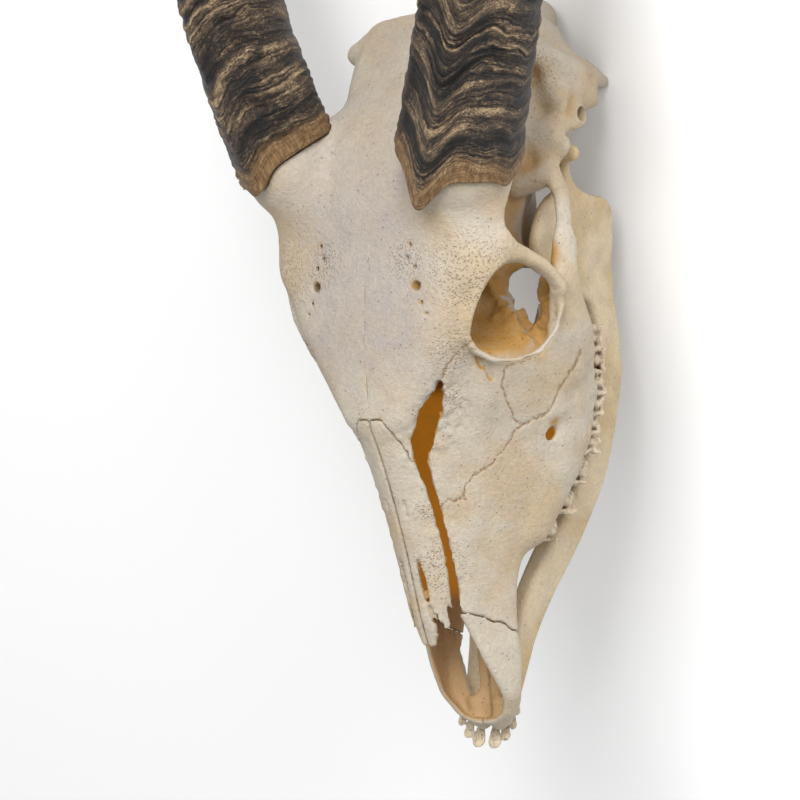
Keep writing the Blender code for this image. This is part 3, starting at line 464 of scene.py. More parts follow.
# Upper cheek teeth from the back to the front: middle y, middle x, height of the chewing face,
# length, breadth and the number of lobes
UPPER_TEETH = (
    (-31, 43.5, -142.0, 24, 17, 2),
    (-55, 44.5, -141.0, 23, 18, 2),
    (-77, 43.5, -139.0, 20, 17, 2),
    (-96, 39.5, -135.5, 16, 15, 1),
    (-113, 34.5, -131.0, 15, 12, 1),
    (-129, 29, -126.0, 14, 10, 1),
)
LOWER_IN = 0.88


def tooth_row(volume, upper):
    """One side's cheek teeth, each lobe a tapered column whose outer edges stand out as ridges."""
    for y, x, chew, length, breadth, lobes in UPPER_TEETH:
        reach = length / lobes
        for i in range(lobes):
            middle = y + (i + 0.5) * reach - length / 2
            if upper:
                wide = breadth / 2
                top, tip = -106.0, chew
                at = x
            else:
                wide = breadth * 0.29
                top, tip = chew - 16, chew - 1.2
                at = x * LOWER_IN
            thick = reach / 2 + 0.4
            squeeze = wide / thick
            radius = thick if squeeze >= 1 else wide
            narrow = ((0, 1, 0), squeeze) if squeeze >= 1 else ((1, 0, 0), 1 / squeeze)
            column = [(at, middle, top), (at, middle, tip)]
            low, high, distance = rod(column, [radius * max(squeeze, 1)] * 2, narrow)

            def clipped(px, py, pz, distance=distance, tip=tip, top=top):
                return np.maximum(distance(px, py, pz), np.maximum(tip - pz, pz - top - 4))

            volume.add((low, high, clipped), 1.0)
            if upper:
                for edge in (-0.5, 0.5):
                    ridge = middle + edge * reach
                    out = at + wide * 0.78
                    spine = 1.0 + 0.4 * lobes
                    ends = [(out - 1, ridge, tip + 14), (out + 0.4, ridge, tip)]
                    volume.add(rod(ends, [spine, spine * 0.8]), 1.5)


def alveolar_ridge(volume):
    """The thick edge of the upper jaw that holds the cheek teeth, down to their necks."""
    places = [(42, -14, -116)] + [(x + 2.5, y, chew + 21.5) for y, x, chew, *_ in UPPER_TEETH]
    widths = [8.5] + [b * 0.5 + 3.7 for _, _, _, _, b, _ in UPPER_TEETH]
    volume.add(rod(places, widths, ((0, 0, 1), 0.95)), 12.0)
    volume.add(rod([(54, -20, -107), (53.5, -60, -107), (45, -95, -106)], [8, 8, 6]), 9.0)


# Half width of the two nasal bones together at each y. The nose opens this far under the roof, and the
# nasal bones reach this far down.
NASALS = {
    -70: 8.0, -76: 11.5, -92: 15.6, -105: 17.4, -120: 17.6, -135: 17.2, -160: 15.2, -180: 13.0,
    -192: 12.0,
}
NASAL_DEPTH = 11.0
NASAL_BELOW = 18.0
# The forked end of the left nasal bone, from its outer to its inner prong, as (x, y)
NASAL_FORK = ((12.2, -181.0), (10.4, -184.5), (8.6, -172.0), (7.2, -181.0), (4.6, -192.0), (1.6, -194.5))


def nasal_half(y):
    return track(NASALS, y)


# The suture between the upper jaw and the muzzle's tip, from above downwards, as (y, z)
MUZZLE_SUTURE = ((-174, -30), (-174, -57), (-177, -72), (-182, -88), (-188, -103), (-188, -135))


def hollow_nose(volume, outer):
    """Hollows the face, leaving walls of even thickness."""
    y = volume.axes[1][None, :, None]
    inner = smooth_max(outer + WALL, y - CAVITY_BACK, 8.0)
    volume.d = smooth_max(volume.d, -inner, 1.5)


def nose_opening(y):
    """Height of the edge of the bony nose opening: it falls steeply behind, then along the muzzle."""
    ys = (-240, -232, -222, -205, -190, -176, -170, -166)
    return curve_through(ys, (-99, -97, -91, -79, -70, -61, -52, -36), y)


def open_nose(volume):
    """Opens the front of the face, under the ends of the nasal bones."""
    x, y, z = volume.axes
    above = nose_opening(y)[None, :, None] - z[None, None, :]
    beside = nasal_half(y)[None, :] - 0.5 - x[:, None]
    beside = np.minimum(beside, y[None, :] + 196)[:, :, None]
    under = z[None, None, :] - (roof(y) - NASAL_DEPTH)[None, :, None]
    opening = np.maximum(above, np.minimum(beside, under))
    volume.d = smooth_max(volume.d, -np.maximum(opening, y[None, :, None] + 160), 2.5)


def muzzle(volume):
    """The thick end of the muzzle, and the slits of the palate behind it."""
    end = [(9, -226, -107), (8, -234, -107), (6, -237, -107.5)]
    volume.add(rod(end, [7, 6, 4.5], ((0, 0, 1), 1.25)), 3.0)
    slit = [(11, -180, -104), (13, -198, -106), (11, -219, -109)]
    volume.cut(rod(slit, [3.5, 6.5, 4], ((0, 0, 1), 0.35)), 1.0)


def face_gap(volume):
    """The gap beside the root of the nasal bone, wide behind and drawn out to a slit in front."""
    through = (0.5, 0, 0.8)
    volume.cut(rod([(37.5, -50, -17), (36.5, -58, -17)], [1.8, 2.6], (through, 0.3)), 0.5)
    wide = [(35, -58, -16), (30, -68, -17.5), (23.5, -81, -19.5), (20, -90, -22)]
    volume.cut(rod(wide, [3.6, 6.8, 6.4, 4.6], (through, 0.5)), 1.0)
    slit = [(20, -90, -22), (18, -106, -32), (18, -134, -44.5), (16.8, -152, -51.5), (15.4, -174, -58.5)]
    volume.cut(rod(slit, [4.2, 2.3, 1.9, 1.9, 2.2], (through, 0.2)), 0.5)


def cranium_volume():
    """The left half of the skull without its lower jaw."""
    volume = Volume(*CRANIUM_GRID)
    outer = trunk(volume)
    volume.d = outer.copy()
    shield(volume)
    pedicle(volume)
    orbit(volume)
    zygoma(volume)
    occiput(volume)
    ear_region(volume)
    skull_base(volume)
    alveolar_ridge(volume)
    hollow_nose(volume, outer)
    tooth_row(volume, upper=True)
    open_nose(volume)
    muzzle(volume)
    face_gap(volume)
    socket_floor(volume)
    return volume


# The lower jaw seen from its left side, as (y, z) points round its edge
JAW_OUTLINE = (
    (-239, -118), (-230, -126), (-208, -134), (-185, -141), (-161, -151), (-137, -160), (-110, -167),
    (-81, -172), (-48, -175), (-22, -175), (-8, -173), (10, -172), (26, -171), (40, -170), (50, -165),
    (55, -156), (55, -142), (57, -129), (61, -119), (68, -110), (78, -106), (83, -101), (78, -98),
    (68, -103), (58, -103), (53, -92), (46, -84), (34, -80), (22, -81), (13, -91), (7, -106),
    (2, -124), (-3, -139), (-6, -148), (-31, -150), (-79, -147), (-98, -143), (-132, -135),
    (-146, -129), (-167, -123), (-190, -119), (-215, -115), (-234, -112),
)
# Distance of the jaw's middle from the midline, and half its thickness, at each y
JAW_PLACE = {
    -239: (7.2, 7.0), -222: (8.2, 8.0), -200: (9.0, 8.2), -185: (12.0, 7.0), -165: (17.0, 6.4),
    -132: (27.0, 7.4), -98: (35.5, 8.6), -56: (39.5, 9.6), -22: (41.5, 9.0), 0: (44.0, 6.4),
    20: (47.5, 4.4), 50: (51.0, 3.8), 84: (56.0, 4.4),
}
# How much further out each millimetre of height carries the back of the jaw
JAW_LEAN = 0.18


def jaw_volume():
    """The left half of the lower jaw with its cheek teeth."""
    volume = Volume(*JAW_GRID)
    x, y, z = volume.axes
    middle, half = (track(JAW_PLACE, y, i) for i in range(2))
    flat = outline_distance(rounded(JAW_OUTLINE), y[:, None], z[None, :])
    lean = JAW_LEAN * (z[None, :] + 120) * np.clip((y[:, None] + 40) / 60, 0, 1)
    swell = 1 - 0.22 * np.clip((-150 - z[None, :]) / 25, 0, 1)
    place = middle[:, None] + lean
    across = (np.abs(x[:, None, None] - place[None]) - (half[:, None] * swell)[None]) * 0.96
    volume.d = smooth_max(across, flat[None], 5.0).astype(np.float32)
    condyle = [(54.5, 77, -103), (60, 77, -101.5), (65.5, 76.5, -102.5)]
    volume.add(rod(condyle, [3.8, 4.6, 4], ((0, 1, 0), 0.9)), 5.0)
    volume.cut(rod([(52, 20, -128), (55, 34, -146)], [14, 12], ((1, 0, 0), 6.5)), 5.0)
    tooth_row(volume, upper=False)
    incisors(volume)
    volume.d = np.maximum(volume.d, GAP / 2 - x[:, None, None]).astype(np.float32)
    return volume


# The left front teeth from the middle outwards: x and y of the tip, and the crown's half breadth
INCISORS = ((5.6, -248.0, 4.8), (13.2, -244.5, 3.5), (18.2, -238.5, 2.8), (21.0, -231.0, 2.4))


def incisors(volume):
    """Front teeth: a narrow neck that opens into a flat, worn crown."""
    for x, y, half in INCISORS:
        root = (x * 0.62, y + 22, -122)
        neck = (x * 0.86, y + 10, -118)
        volume.add(rod([root, neck], [2.6, 2.2]), 1.5)
        volume.add(rod([neck, (x, y, -116.5)], [2.2, half], ((0, 0.35, 1), half / 1.7)), 1.0)


def noise(points, size, seed):
    """Smooth noise between -1 and 1 at points in millimetres, with lumps about as wide as size."""
    q = np.asarray(points, float) / size + 19.7 * seed
    cell = np.floor(q).astype(np.int64)
    part = q - cell
    part = part * part * (3 - 2 * part)
    total = 0
    for corner in np.ndindex(*(2,) * q.shape[-1]):
        key = 0
        weight = 1.0
        for k, side in enumerate(corner):
            key = (key * 73856093) ^ ((cell[..., k] + side) * (19349663 + 62497 * k))
            weight = weight * (part[..., k] if side else 1 - part[..., k])
        key = (key ^ (key >> 13)) * 83492791 & 0x7FFFFFFF
        total = total + weight * ((key >> 7 & 0xFFFF) / 32767.5 - 1)
    return total


def eased(value, low, high):
    """From 0 at low to 1 at high, with smooth ends."""
    t = np.clip((value - low) / (high - low), 0, 1)
    return t * t * (3 - 2 * t)


def sampled(volume, grid, points):
    """The grid's values at the points, read between its cells."""
    where = [(points[:, k] - volume.axes[k][0]) / volume.step for k in range(3)]
    where = [np.clip(w, 0, len(a) - 1.001) for w, a in zip(where, volume.axes)]
    cell = [w.astype(int) for w in where]
    part = [w - c for w, c in zip(where, cell)]
    total = 0
    for corner in np.ndindex(2, 2, 2):
        weight = 1.0
        for k in range(3):
            weight = weight * (part[k] if corner[k] else 1 - part[k])
        total = total + weight * grid[tuple(c + side for c, side in zip(cell, corner))]
    return total


def blurred(grid, reach):
    """The grid averaged over a cube that reaches that many cells each way."""
    for axis in range(3):
        pad = [(0, 0)] * 3
        pad[axis] = (reach + 1, reach)
        total = np.cumsum(np.pad(grid, pad, mode="edge"), axis=axis, dtype=np.float32)
        count = grid.shape[axis]
        upper = np.take(total, np.arange(count) + 2 * reach + 1, axis=axis)
        lower = np.take(total, np.arange(count), axis=axis)
        grid = (upper - lower) / (2 * reach + 1)
    return grid


def doubled(volume):
    """The volume together with its mirror image in the midplane."""
    first = int(np.argmin(np.abs(volume.axes[0])))
    whole = Volume((0, 0, 0), (0, 0, 0), volume.step)
    whole.axes = [np.concatenate([-volume.axes[0][:first:-1], volume.axes[0][first:]]), *volume.axes[1:]]
    whole.d = np.concatenate([volume.d[:first:-1], volume.d[first:]], axis=0)
    return whole


def openness(volume):
    """How much bone there is close to each place, and farther round it, from 0 to 1."""
    solid = (volume.d < 0).astype(np.float32)
    return blurred(solid, 2), blurred(blurred(solid, 6), 4)


def surface(volume, d):
    """The closed surface where d is zero, as points in millimetres and four-sided faces."""
    grid = openvdb.FloatGrid(FAR)
    grid.copyFromArray(np.ascontiguousarray(d, np.float32))
    points, faces = grid.convertToQuads(0.0)
    points = np.asarray(points) * volume.step + np.array([axis[0] for axis in volume.axes])
    return largest_body(points, np.asarray(faces, int))


def largest_body(points, faces):
    """The connected surface that holds the most volume, without loose scraps or sealed hollows."""
    label = np.arange(len(points))
    while True:
        least = label[faces].min(axis=1)
        before = label.copy()
        for k in range(faces.shape[1]):
            np.minimum.at(label, faces[:, k], least)
        label = label[label]
        if (label == before).all():
            break
    owner = label[faces[:, 0]]
    corners = points[faces]
    wedge = np.einsum("ij,ij->i", corners[:, 0], np.cross(corners[:, 1], corners[:, 2]))
    wedge += np.einsum("ij,ij->i", corners[:, 0], np.cross(corners[:, 2], corners[:, 3]))
    names, index = np.unique(owner, return_inverse=True)
    volumes = np.bincount(index, weights=wedge)
    faces = faces[owner == names[np.abs(volumes).argmax()]]
    used, index = np.unique(faces, return_inverse=True)
    return points[used], index.reshape(-1, 4)


def outward(points, faces):
    """The direction in which the surface faces at each point."""
    corners = points[faces]
    facing = np.cross(corners[:, 2] - corners[:, 0], corners[:, 3] - corners[:, 1])
    total = np.zeros_like(points)
    for k in range(4):
        np.add.at(total, faces[:, k], facing)
    return total / np.maximum(np.linalg.norm(total, axis=1), 1e-9)[:, None]


REST = Matrix.Translation(REST_SHIFT) @ Matrix.Rotation(REST_TILT, 4, "X")


def laid_down(points):
    """Points of the skull's own frame as they lie on the floor, in metres."""
    turn = np.array(REST.to_3x3())
    placed = (points @ turn.T + np.array(REST_SHIFT)) * MM
    placed[:, 2] = np.maximum(placed[:, 2], 0)
    return placed


def piece(name, node, points, faces, fields, material):
    """A visible piece that stands for a node. Each field is a value at every point, for its material."""
    mesh = bpy.data.meshes.new(name)
    mesh.from_pydata(laid_down(points).tolist(), [], faces)
    mesh.shade_smooth()
    for label, values in fields.items():
        many = values.ndim == 2
        attribute = mesh.attributes.new(label, "FLOAT_VECTOR" if many else "FLOAT", "POINT")
        attribute.data.foreach_set("vector" if many else "value", values.astype(np.float32).ravel())
    mesh.materials.append(material)
    obj = bpy.data.objects.new(name, mesh)
    bpy.context.collection.objects.link(obj)
    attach(obj, "root")
    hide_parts(node)


# The horns' meshes: how far apart the rings are at the base and at the tip, and how many points there are
# round a ring and along the line it is read from. Then the growth ridges' height and the random seeds.
RING_NEAR = 0.9
RING_FAR = 2.4
HORN_AROUND = 160
HORN_FINE = 600
RIDGE_HEIGHT = 0.8
HORN_SEEDS = (1, 31)


def horn_surface(seed, point):
    """A left horn with its growth ridges: points, faces, and the fields that its material reads."""
    place = [0.0]
    while place[-1] < HORN_LENGTH:
        place.append(place[-1] + RING_NEAR + (RING_FAR - RING_NEAR) * (place[-1] / HORN_LENGTH) ** 1.5)
    place = np.array(place) * HORN_LENGTH / place[-1]
    known = np.linspace(0, HORN_LENGTH, HORN_FINE)
    line, heading = (
        np.stack([np.interp(place, known, values[:, k]) for k in range(3)], axis=1)
        for values in horn_line(HORN_FINE)
    )
    heading /= np.linalg.norm(heading, axis=1)[:, None]
    angle = np.arange(HORN_AROUND) * 2 * math.pi / HORN_AROUND
    first = horn_places(0, line[0], heading[0], angle, point) - line[0]
    slide = first @ heading[0]
    stations = zip(place / HORN_LENGTH, line, heading)
    rings = np.array([horn_places(t, centre, ahead, angle, point) for t, centre, ahead in stations])
    taper = np.array([horn_taper(s / HORN_LENGTH) for s in place])
    round_it = np.stack([np.cos(angle), np.sin(angle)], axis=1) * HORN_BROAD
    growth = place[:, None] - 0.72 * slide * np.clip(place / RIM_REACH, 0, 1)[:, None]
    round_it = np.broadcast_to(round_it, (len(place), HORN_AROUND, 2))
    fibre = np.concatenate([round_it, growth[..., None]], axis=2)
    bend = 2.6 * noise(fibre, 15, seed) + 1.4 * noise(fibre, 5.5, seed + 1)
    bend = bend + 0.5 * noise(fibre, 2.4, seed + 6)
    year = (growth + bend)[..., None]
    ridge = 0.8 * noise(year, 1.7, seed + 2) + 0.5 * noise(year, 3.6, seed + 3)
    ridge = ridge + 0.2 * noise(year, 13, seed + 4)
    fade = (1 - eased(place, 0.42 * HORN_LENGTH, 0.8 * HORN_LENGTH))[:, None]
    lumps = 0.5 * noise(fibre, 22, seed + 5)
    out = rings - line[:, None]
    out /= np.linalg.norm(out, axis=2)[..., None]
    rings = rings + out * ((ridge * RIDGE_HEIGHT - 0.35) * fade + lumps * 0.5 * taper[:, None])[..., None]
    count = HORN_AROUND
    body = np.arange(len(place) * count).reshape(len(place), count)
    turned = np.roll(body, -1, axis=1)
    sides = np.stack([body[:-1], turned[:-1], turned[1:], body[1:]], axis=-1).reshape(-1, 4)
    points = np.vstack([rings.reshape(-1, 3), line[0], line[-1] + heading[-1] * 1.5])
    root, tip = len(points) - 2, len(points) - 1
    caps = [(body[0, j], root, turned[0, j]) for j in range(count)]
    caps += [(body[-1, j], turned[-1, j], tip) for j in range(count)]
    extra = len(points) - len(place) * count
    fields = {
        "year": np.concatenate([year.reshape(-1), np.zeros(extra)]),
        "ridge": np.concatenate([(ridge * fade).reshape(-1), np.zeros(extra)]),
        "along": np.concatenate([np.repeat(place, count), np.zeros(extra)]),
        "fibre": np.vstack([fibre.reshape(-1, 3), np.zeros((extra, 3))]),
    }
    return points, sides, np.array(caps), fields


def horn_cut(volume, side, points, sides, caps):
    """Clears a horn's sheath out of the bone, a gap away from it. The right one is a mirrored left one."""
    low = np.array([axis[0] for axis in volume.axes])
    if side < 0:
        points, sides, caps = points * (-1, 1, 1), sides[:, ::-1], caps[:, ::-1]
    grid = openvdb.FloatGrid.createLevelSetFromPolygons(
        ((points - low) / volume.step).astype(np.float32),
        triangles=caps.astype(np.uint32),
        quads=sides.astype(np.uint32),
        transform=openvdb.createLinearTransform(1.0),
        halfWidth=3,
    )
    away = np.zeros(volume.d.shape, np.float32)
    grid.copyToArray(away)
    volume.d = np.maximum(volume.d, GAP - away * volume.step)


# Sutures of the left side, which the right side mirrors. They are measured across the face: how far
# from the midline, seen half from the side and half from above, and the place along the skull.
ACROSS = (0.766, 0.0, -0.643)
SUTURES = (
    ((88, -37), (82, -39), (75, -41), (74, -52), (76, -61), (79, -68), (82, -71), (86, -72)),
    ((116, -32), (114, -39), (109, -47), (103, -58), (99, -66), (94, -69), (86, -72)),
    ((86, -72), (81, -75), (76, -84), (70, -92), (62, -98), (55, -104), (52, -111), (55, -114)),
    ((52, -111), (48, -114), (44, -112), (41, -116), (40, -122)),
    ((57, -27), (50, -33), (45, -40), (41, -47)),
)
# The midline's crack runs between these two places, and fades behind them
CRACK = (-69.0, 4.0)
# How far the sutures wander, how ragged the nasal bones' edges are, over what length a ragged zone fades
# out, the height of the upper teeth's necks, and how uneven the bone's surface is
WIGGLE = 1.0
JAG = 0.55
RAGGED_FADE = 4.0
TOOTH_NECK = -120.0
SWELL = 0.25
# Round zones of the left side, each a centre and a reach: pitted bone, and recesses painted brown as shade
POROUS = (
    ((62, 8, -14), 34), ((50, -34, -15), 20), ((36, -62, -22), 17), ((28, 15, 0), 16),
    ((15, -150, -45), 22), ((16, -120, -34), 12), ((66, 120, -70), 22),
)
SHADED_RECESSES = (
    ((50, 62, -82), 26), ((46, 40, -72), 20), ((20, 20, -116), 40), ((56, 100, -96), 14),
    ((60, 118, -66), 16),
)
# Small holes of the forehead, each a place and a radius
FOREHEAD_HOLES = (
    (31, 24, 0, 1.2), (29, 17, 1, 1.4), (34, 12, 0, 1.2), (38, -7, 0, 1.3), (41, -13, -1, 1.0),
)
# Openings with brown round them, each a centre and a reach
VEINS = (((34, 3, -3), 6.5), ((32, 24, -2), 5.0), ((53, -37, -31), 5.0), ((57, -71, -91), 5.5))


def coordinates(x, y, z=None):
    """The grid's points, or those of one level of it, as an array of coordinates."""
    axes = (x, y) if z is None else (x, y, z)
    return np.stack(np.broadcast_arrays(*axes), axis=-1)


def to_lines(points, lines):
    """Distance from each point of the plane to the nearest of the lines."""
    best = np.full(len(points), FAR)
    for line in lines:
        line = np.array(line, float)
        for a, b in zip(line[:-1], line[1:]):
            ab = b - a
            t = np.clip((points - a) @ ab / (ab @ ab), 0, 1)
            best = np.minimum(best, np.linalg.norm(points - a - t[:, None] * ab, axis=1))
    return best


def zone(points, zones, soft):
    """From 0 outside the round zones to 1 inside, over a soft edge given as a share of the reach."""
    total = np.zeros(len(points))
    for centre, reach in zones:
        away = np.linalg.norm(points - np.array(centre, float), axis=1)
        total = np.maximum(total, 1 - eased(away, reach * (1 - soft), reach))
    return total


def nasal_zone(volume, side, grow):
    """Distance to the block round one nasal bone, with the fine teeth of its suture."""
    x, y, z = volume.axes
    edge = np.linspace(-70, -178, 19)
    outline = np.array([(0, -70), *zip(nasal_half(edge), edge), *NASAL_FORK, (0, -190)])
    flat = outline_distance(outline, side * x[:, None], y[None, :])
    flat = flat + JAG * noise(coordinates(x[:, None], y[None, :]), 2.2, 3) - grow
    under = (roof(y) - NASAL_BELOW)[None, :, None] - z[None, None, :]
    return np.maximum(flat[:, :, None], under - grow)


def muzzle_zone(volume, grow):
    """Distance to the block in front of the suture behind the muzzle's tip."""
    x, y, z = volume.axes
    outline = np.array(list(MUZZLE_SUTURE) + [(-262, -135), (-262, -30)])
    flat = outline_distance(outline, y[:, None], z[None, :])
    spots = coordinates(x[:, None, None], y[None, :, None], z[None, None, :])
    return flat[None] + 1.6 * noise(spots, 7, 5) + 0.5 * noise(spots, 2.4, 6) - grow


def roughened(volume, low, high, size, height, seed):
    """Makes the surface in a box ragged, with lumps of that size, and fades out at the box's sides."""
    where, x, y, z = volume.window(np.array(low), np.array(high))
    fade = 1.0
    for value, a, b in zip((x, y, z), low, high):
        fade = fade * np.clip(np.minimum(value - a, b - value) / RAGGED_FADE, 0, 1)
    volume.d[where] += (height * noise(coordinates(x, y, z), size, seed) * fade).astype(np.float32)


def details(volume):
    """Openings for nerves and blood vessels in the left half, thin plates and ragged edges."""
    roughened(volume, (10, -98, -40), (46, -48, -6), 3.4, 1.1, 61)
    roughened(volume, (10, -186, -66), (26, -96, -22), 3.0, 0.6, 62)
    roughened(volume, (20, -34, -112), (72, 18, -56), 4.5, 1.3, 63)
    volume.add(rod([(50, -24, -72), (47, -14, -74)], [8, 5], ((0.6, 0.2, 0.76), 5.0)), 1.5)
    volume.add(rod([(63, 6, -77), (59, -2, -80)], [4.5, 5], ((0.7, 0, 0.7), 3.0)), 1.5)
    roughened(volume, (34, -40, -86), (66, 2, -60), 3.2, 1.4, 64)
    volume.cut(rod([(33.5, 6, 5), (34.5, 2, 2), (37, 1, -10)], [1.8, 2.6, 1.8]), 0.8)
    volume.cut(rod([(34, -2, 3), (34.5, -12, 1.6)], [1.5, 0.6]), 0.8)
    roughened(volume, (26, -142, -151), (72, -12, -117), 3.8, 1.2, 65)
    for x, y, z, size in FOREHEAD_HOLES:
        volume.cut(rod([(x, y, z + 3), (x + 1, y, z - 4)], [size, size * 0.7]), 0.6)
    volume.cut(rod([(53, -35, -30), (53, -41, -34)], [1.9, 1.5]), 0.8)
    volume.cut(rod([(55.5, -40, -35), (54, -47, -40)], [2.1, 1.6]), 0.8)
    volume.cut(rod([(61, -70, -91), (59, -76, -93), (50, -78, -92)], [2.0, 3.4, 3.4]), 1.0)
    steep = ((0.3, 0, 0.95), 0.25)
    volume.cut(rod([(6, -146, -36), (6.3, -157, -39.5), (6.5, -168, -43)], [0.9, 1.5, 1.3], steep), 0.3)
    volume.cut(rod([(6.8, -171, -44.5), (7.2, -179, -48)], [1.0, 1.1], steep), 0.3)
    volume.cut(rod([(6.5, -114, -23), (6.5, -122, -26)], [0.9, 0.7], steep), 0.3)


def bone_fields(volume, outer, near, wide, teeth, points, facing):
    """What the bone's material needs at each point: openness and enclosure for painted shade, depth for the
    painted glow inside the face, stains with painted shade, sutures, pores and teeth.
    """
    mirror = np.where(points[:, :1] < 0, (-1.0, 1.0, 1.0), 1.0)
    folded = points * mirror
    facing = facing * mirror
    depth = -sampled(volume, outer, points)
    into = (ORBIT - folded) @ ORBIT_FACING
    radial = folded - ORBIT + into[:, None] * ORBIT_FACING
    aside = np.maximum(np.linalg.norm(radial, axis=1), 1)
    inwards = -np.einsum("ij,ij->i", radial, facing) / aside
    # The socket's walls are painted brown as shade
    socket_wall_shade = eased(into, 3, 9) * (1 - eased(aside, 44, 52)) * np.maximum(
        eased(inwards, -0.1, 0.35), eased(facing @ ORBIT_FACING, 0.5, 0.8) * eased(into, 12, 20)
    )
    flat = np.stack([folded @ np.array(ACROSS), folded[:, 1]], axis=1)
    flat += WIGGLE * np.stack([noise(points, 2.2, k) for k in (41, 42)], axis=1)
    flat += 1.2 * WIGGLE * np.stack([noise(points, 6.0, k) for k in (44, 45)], axis=1)
    suture = to_lines(flat, SUTURES)
    crack = np.abs(points[:, 0] + 0.5 * noise(points, 7.0, 47)) + 0.25
    behind = eased(points[:, 1], CRACK[1], CRACK[1] + 14)
    crack = np.where(points[:, 1] > CRACK[0], crack + 0.55 * behind, FAR)
    crack = np.where((points[:, 1] > 84) | (facing[:, 2] < 0.5), FAR, crack)
    outside = (depth < 2.0) & (facing @ np.array((0.643, 0, 0.766)) > 0.1)
    suture = np.where(outside, np.minimum(suture, crack), FAR)
    side = eased(np.abs(points[:, 0]), 24, 62)
    brow = (1 - side) * eased(points[:, 1], -75, -25) * (1 - 0.5 * eased(points[:, 1], 40, 100))
    # Brown in the listed recesses, only where bone closes round them, is painted shade; brown round the
    # openings follows
    stain_and_shade = 0.8 * zone(folded, SHADED_RECESSES, 0.6) * eased(sampled(volume, wide, points), 0.36, 0.54)
    stain_and_shade = np.maximum(stain_and_shade, 0.85 * zone(folded, VEINS, 0.9))
    forward = eased(points[:, 1], -176, -158)
    return {
        # inner marks the inside of the face, for its painted shade and painted glow
        "inner": eased(depth, 1.2, 3.2) * (1 - eased(points[:, 1], -60, -44)) * (0.5 + 0.5 * forward),
        # How much bone crowds close round each place: the mask for painted shade between the teeth
        "crevice_shade": sampled(volume, near, points),
        # depth: how enclosed each place is, painted as warm shade in the material
        "depth": sampled(volume, wide, points),
        "stain_and_shade": np.maximum(socket_wall_shade, stain_and_shade),
        "suture": suture,
        "porous": zone(folded, POROUS, 0.8),
        "brow": brow,
        "tooth": 1 - eased(sampled(volume, teeth, points), 0.5, 1.3),
        "skull": points,
    }


def bone_piece(name, node, volume, d, grids, material):
    """Turns a distance grid into a piece whose surface has the slight unevenness of bone."""
    points, faces = surface(volume, d)
    facing = outward(points, faces)
    fields = bone_fields(volume, *grids, points, facing)
    uneven = 0.6 * noise(points, 9, 11) + 0.4 * noise(points, 3.2, 12) * (1 + fields["porous"])
    groove = 0.5 * (1 - eased(fields["suture"], 0.2, 1.1))
    points = points + facing * (uneven * SWELL - SWELL * 0.7 - groove)[:, None]
    piece(name, node, points, faces.tolist(), fields, material)


def teeth_alone():
    """The upper cheek teeth's crowns, on the skull's grid."""
    volume = Volume(*CRANIUM_GRID)
    tooth_row(volume, upper=True)
    volume.d = np.maximum(volume.d, volume.axes[2][None, None, :] - TOOTH_NECK)
    return doubled(volume).d


def build_cranium(left, right, material):
    """The skull, cut along its sutures into the nasal bones, the muzzle's tip and the rest."""
    half = cranium_volume()
    details(half)
    volume = doubled(half)
    horn_cut(volume, 1, *left[:3])
    horn_cut(volume, -1, *right[:3])
    x = volume.axes[0][:, None, None]
    plain = Volume(*CRANIUM_GRID)
    plain.d = trunk(plain)
    grids = (doubled(plain).d, *openness(volume), teeth_alone())
    for side, label in SIDES:
        block = nasal_zone(volume, side, 0)
        d = np.maximum(np.maximum(volume.d, block), GAP / 2 - side * x)
        bone_piece("nasal_bone_" + label, "nasal_" + label, volume, d, grids, material)
    clear = np.minimum(nasal_zone(volume, 1, GAP), nasal_zone(volume, -1, GAP))
    volume.d = np.maximum(volume.d, -clear)
    muzzle_block = muzzle_zone(volume, 0)
    for side, label in SIDES:
        d = np.maximum(np.maximum(volume.d, muzzle_block), GAP / 2 - side * x)
        bone_piece("premaxillary_bone_" + label, "premaxilla_" + label, volume, d, grids, material)
    d = np.maximum(volume.d, GAP - muzzle_block)
    bone_piece("skull", "cranium", volume, d, grids, material)


def slipped(points):
    """The lower jaw's points after it has slipped to one side."""
    slip = Matrix.Translation(JAW_PIVOT + Vector((JAW_SLIP, 0, 0))) @ Matrix.Rotation(JAW_SWING, 4, "Z")
    slip = slip @ Matrix.Translation(-JAW_PIVOT)
    return points @ np.array(slip.to_3x3()).T + np.array(slip.translation)


def build_jaws(material):
    volume = jaw_volume()
    teeth = Volume(*JAW_GRID)
    tooth_row(teeth, upper=False)
    incisors(teeth)
    near, wide = openness(volume)
    for side, label in SIDES:
        points, faces = surface(volume, volume.d)
        facing = outward(points, faces)
        bare = np.zeros(len(points))
        fields = {
            "inner": bare,
            "crevice_shade": sampled(volume, near, points),
            "depth": sampled(volume, wide, points),
            "stain_and_shade": 0.5 * zone(points, (((10, -225, -120), 18),), 0.8),
            "suture": bare + FAR,
            "porous": bare,
            "brow": bare,
            "tooth": 1 - eased(sampled(volume, teeth.d, points), 0.4, 1.2),
            "skull": points * (side, 1, 1),
        }
        uneven = 0.6 * noise(points * (side, 1, 1), 9, 21) + 0.3 * noise(points * (side, 1, 1), 3.5, 22)
        points = points + facing * (uneven * 0.2 - 0.15)[:, None]
        points = slipped(points * (side, 1, 1))
        if side < 0:
            faces = faces[:, ::-1]
        piece("lower_jaw_" + label, "mandible_" + label, points, faces.tolist(), fields, material)


def build_horns(left, right, material):
    for (side, label), (points, sides, caps, fields) in zip(SIDES, (left, right)):
        faces = sides.tolist() + caps.tolist()
        if side < 0:
            faces = [face[::-1] for face in faces]
        piece("horn_sheath_" + label, "horn_" + label, points * (side, 1, 1), faces, fields, material)


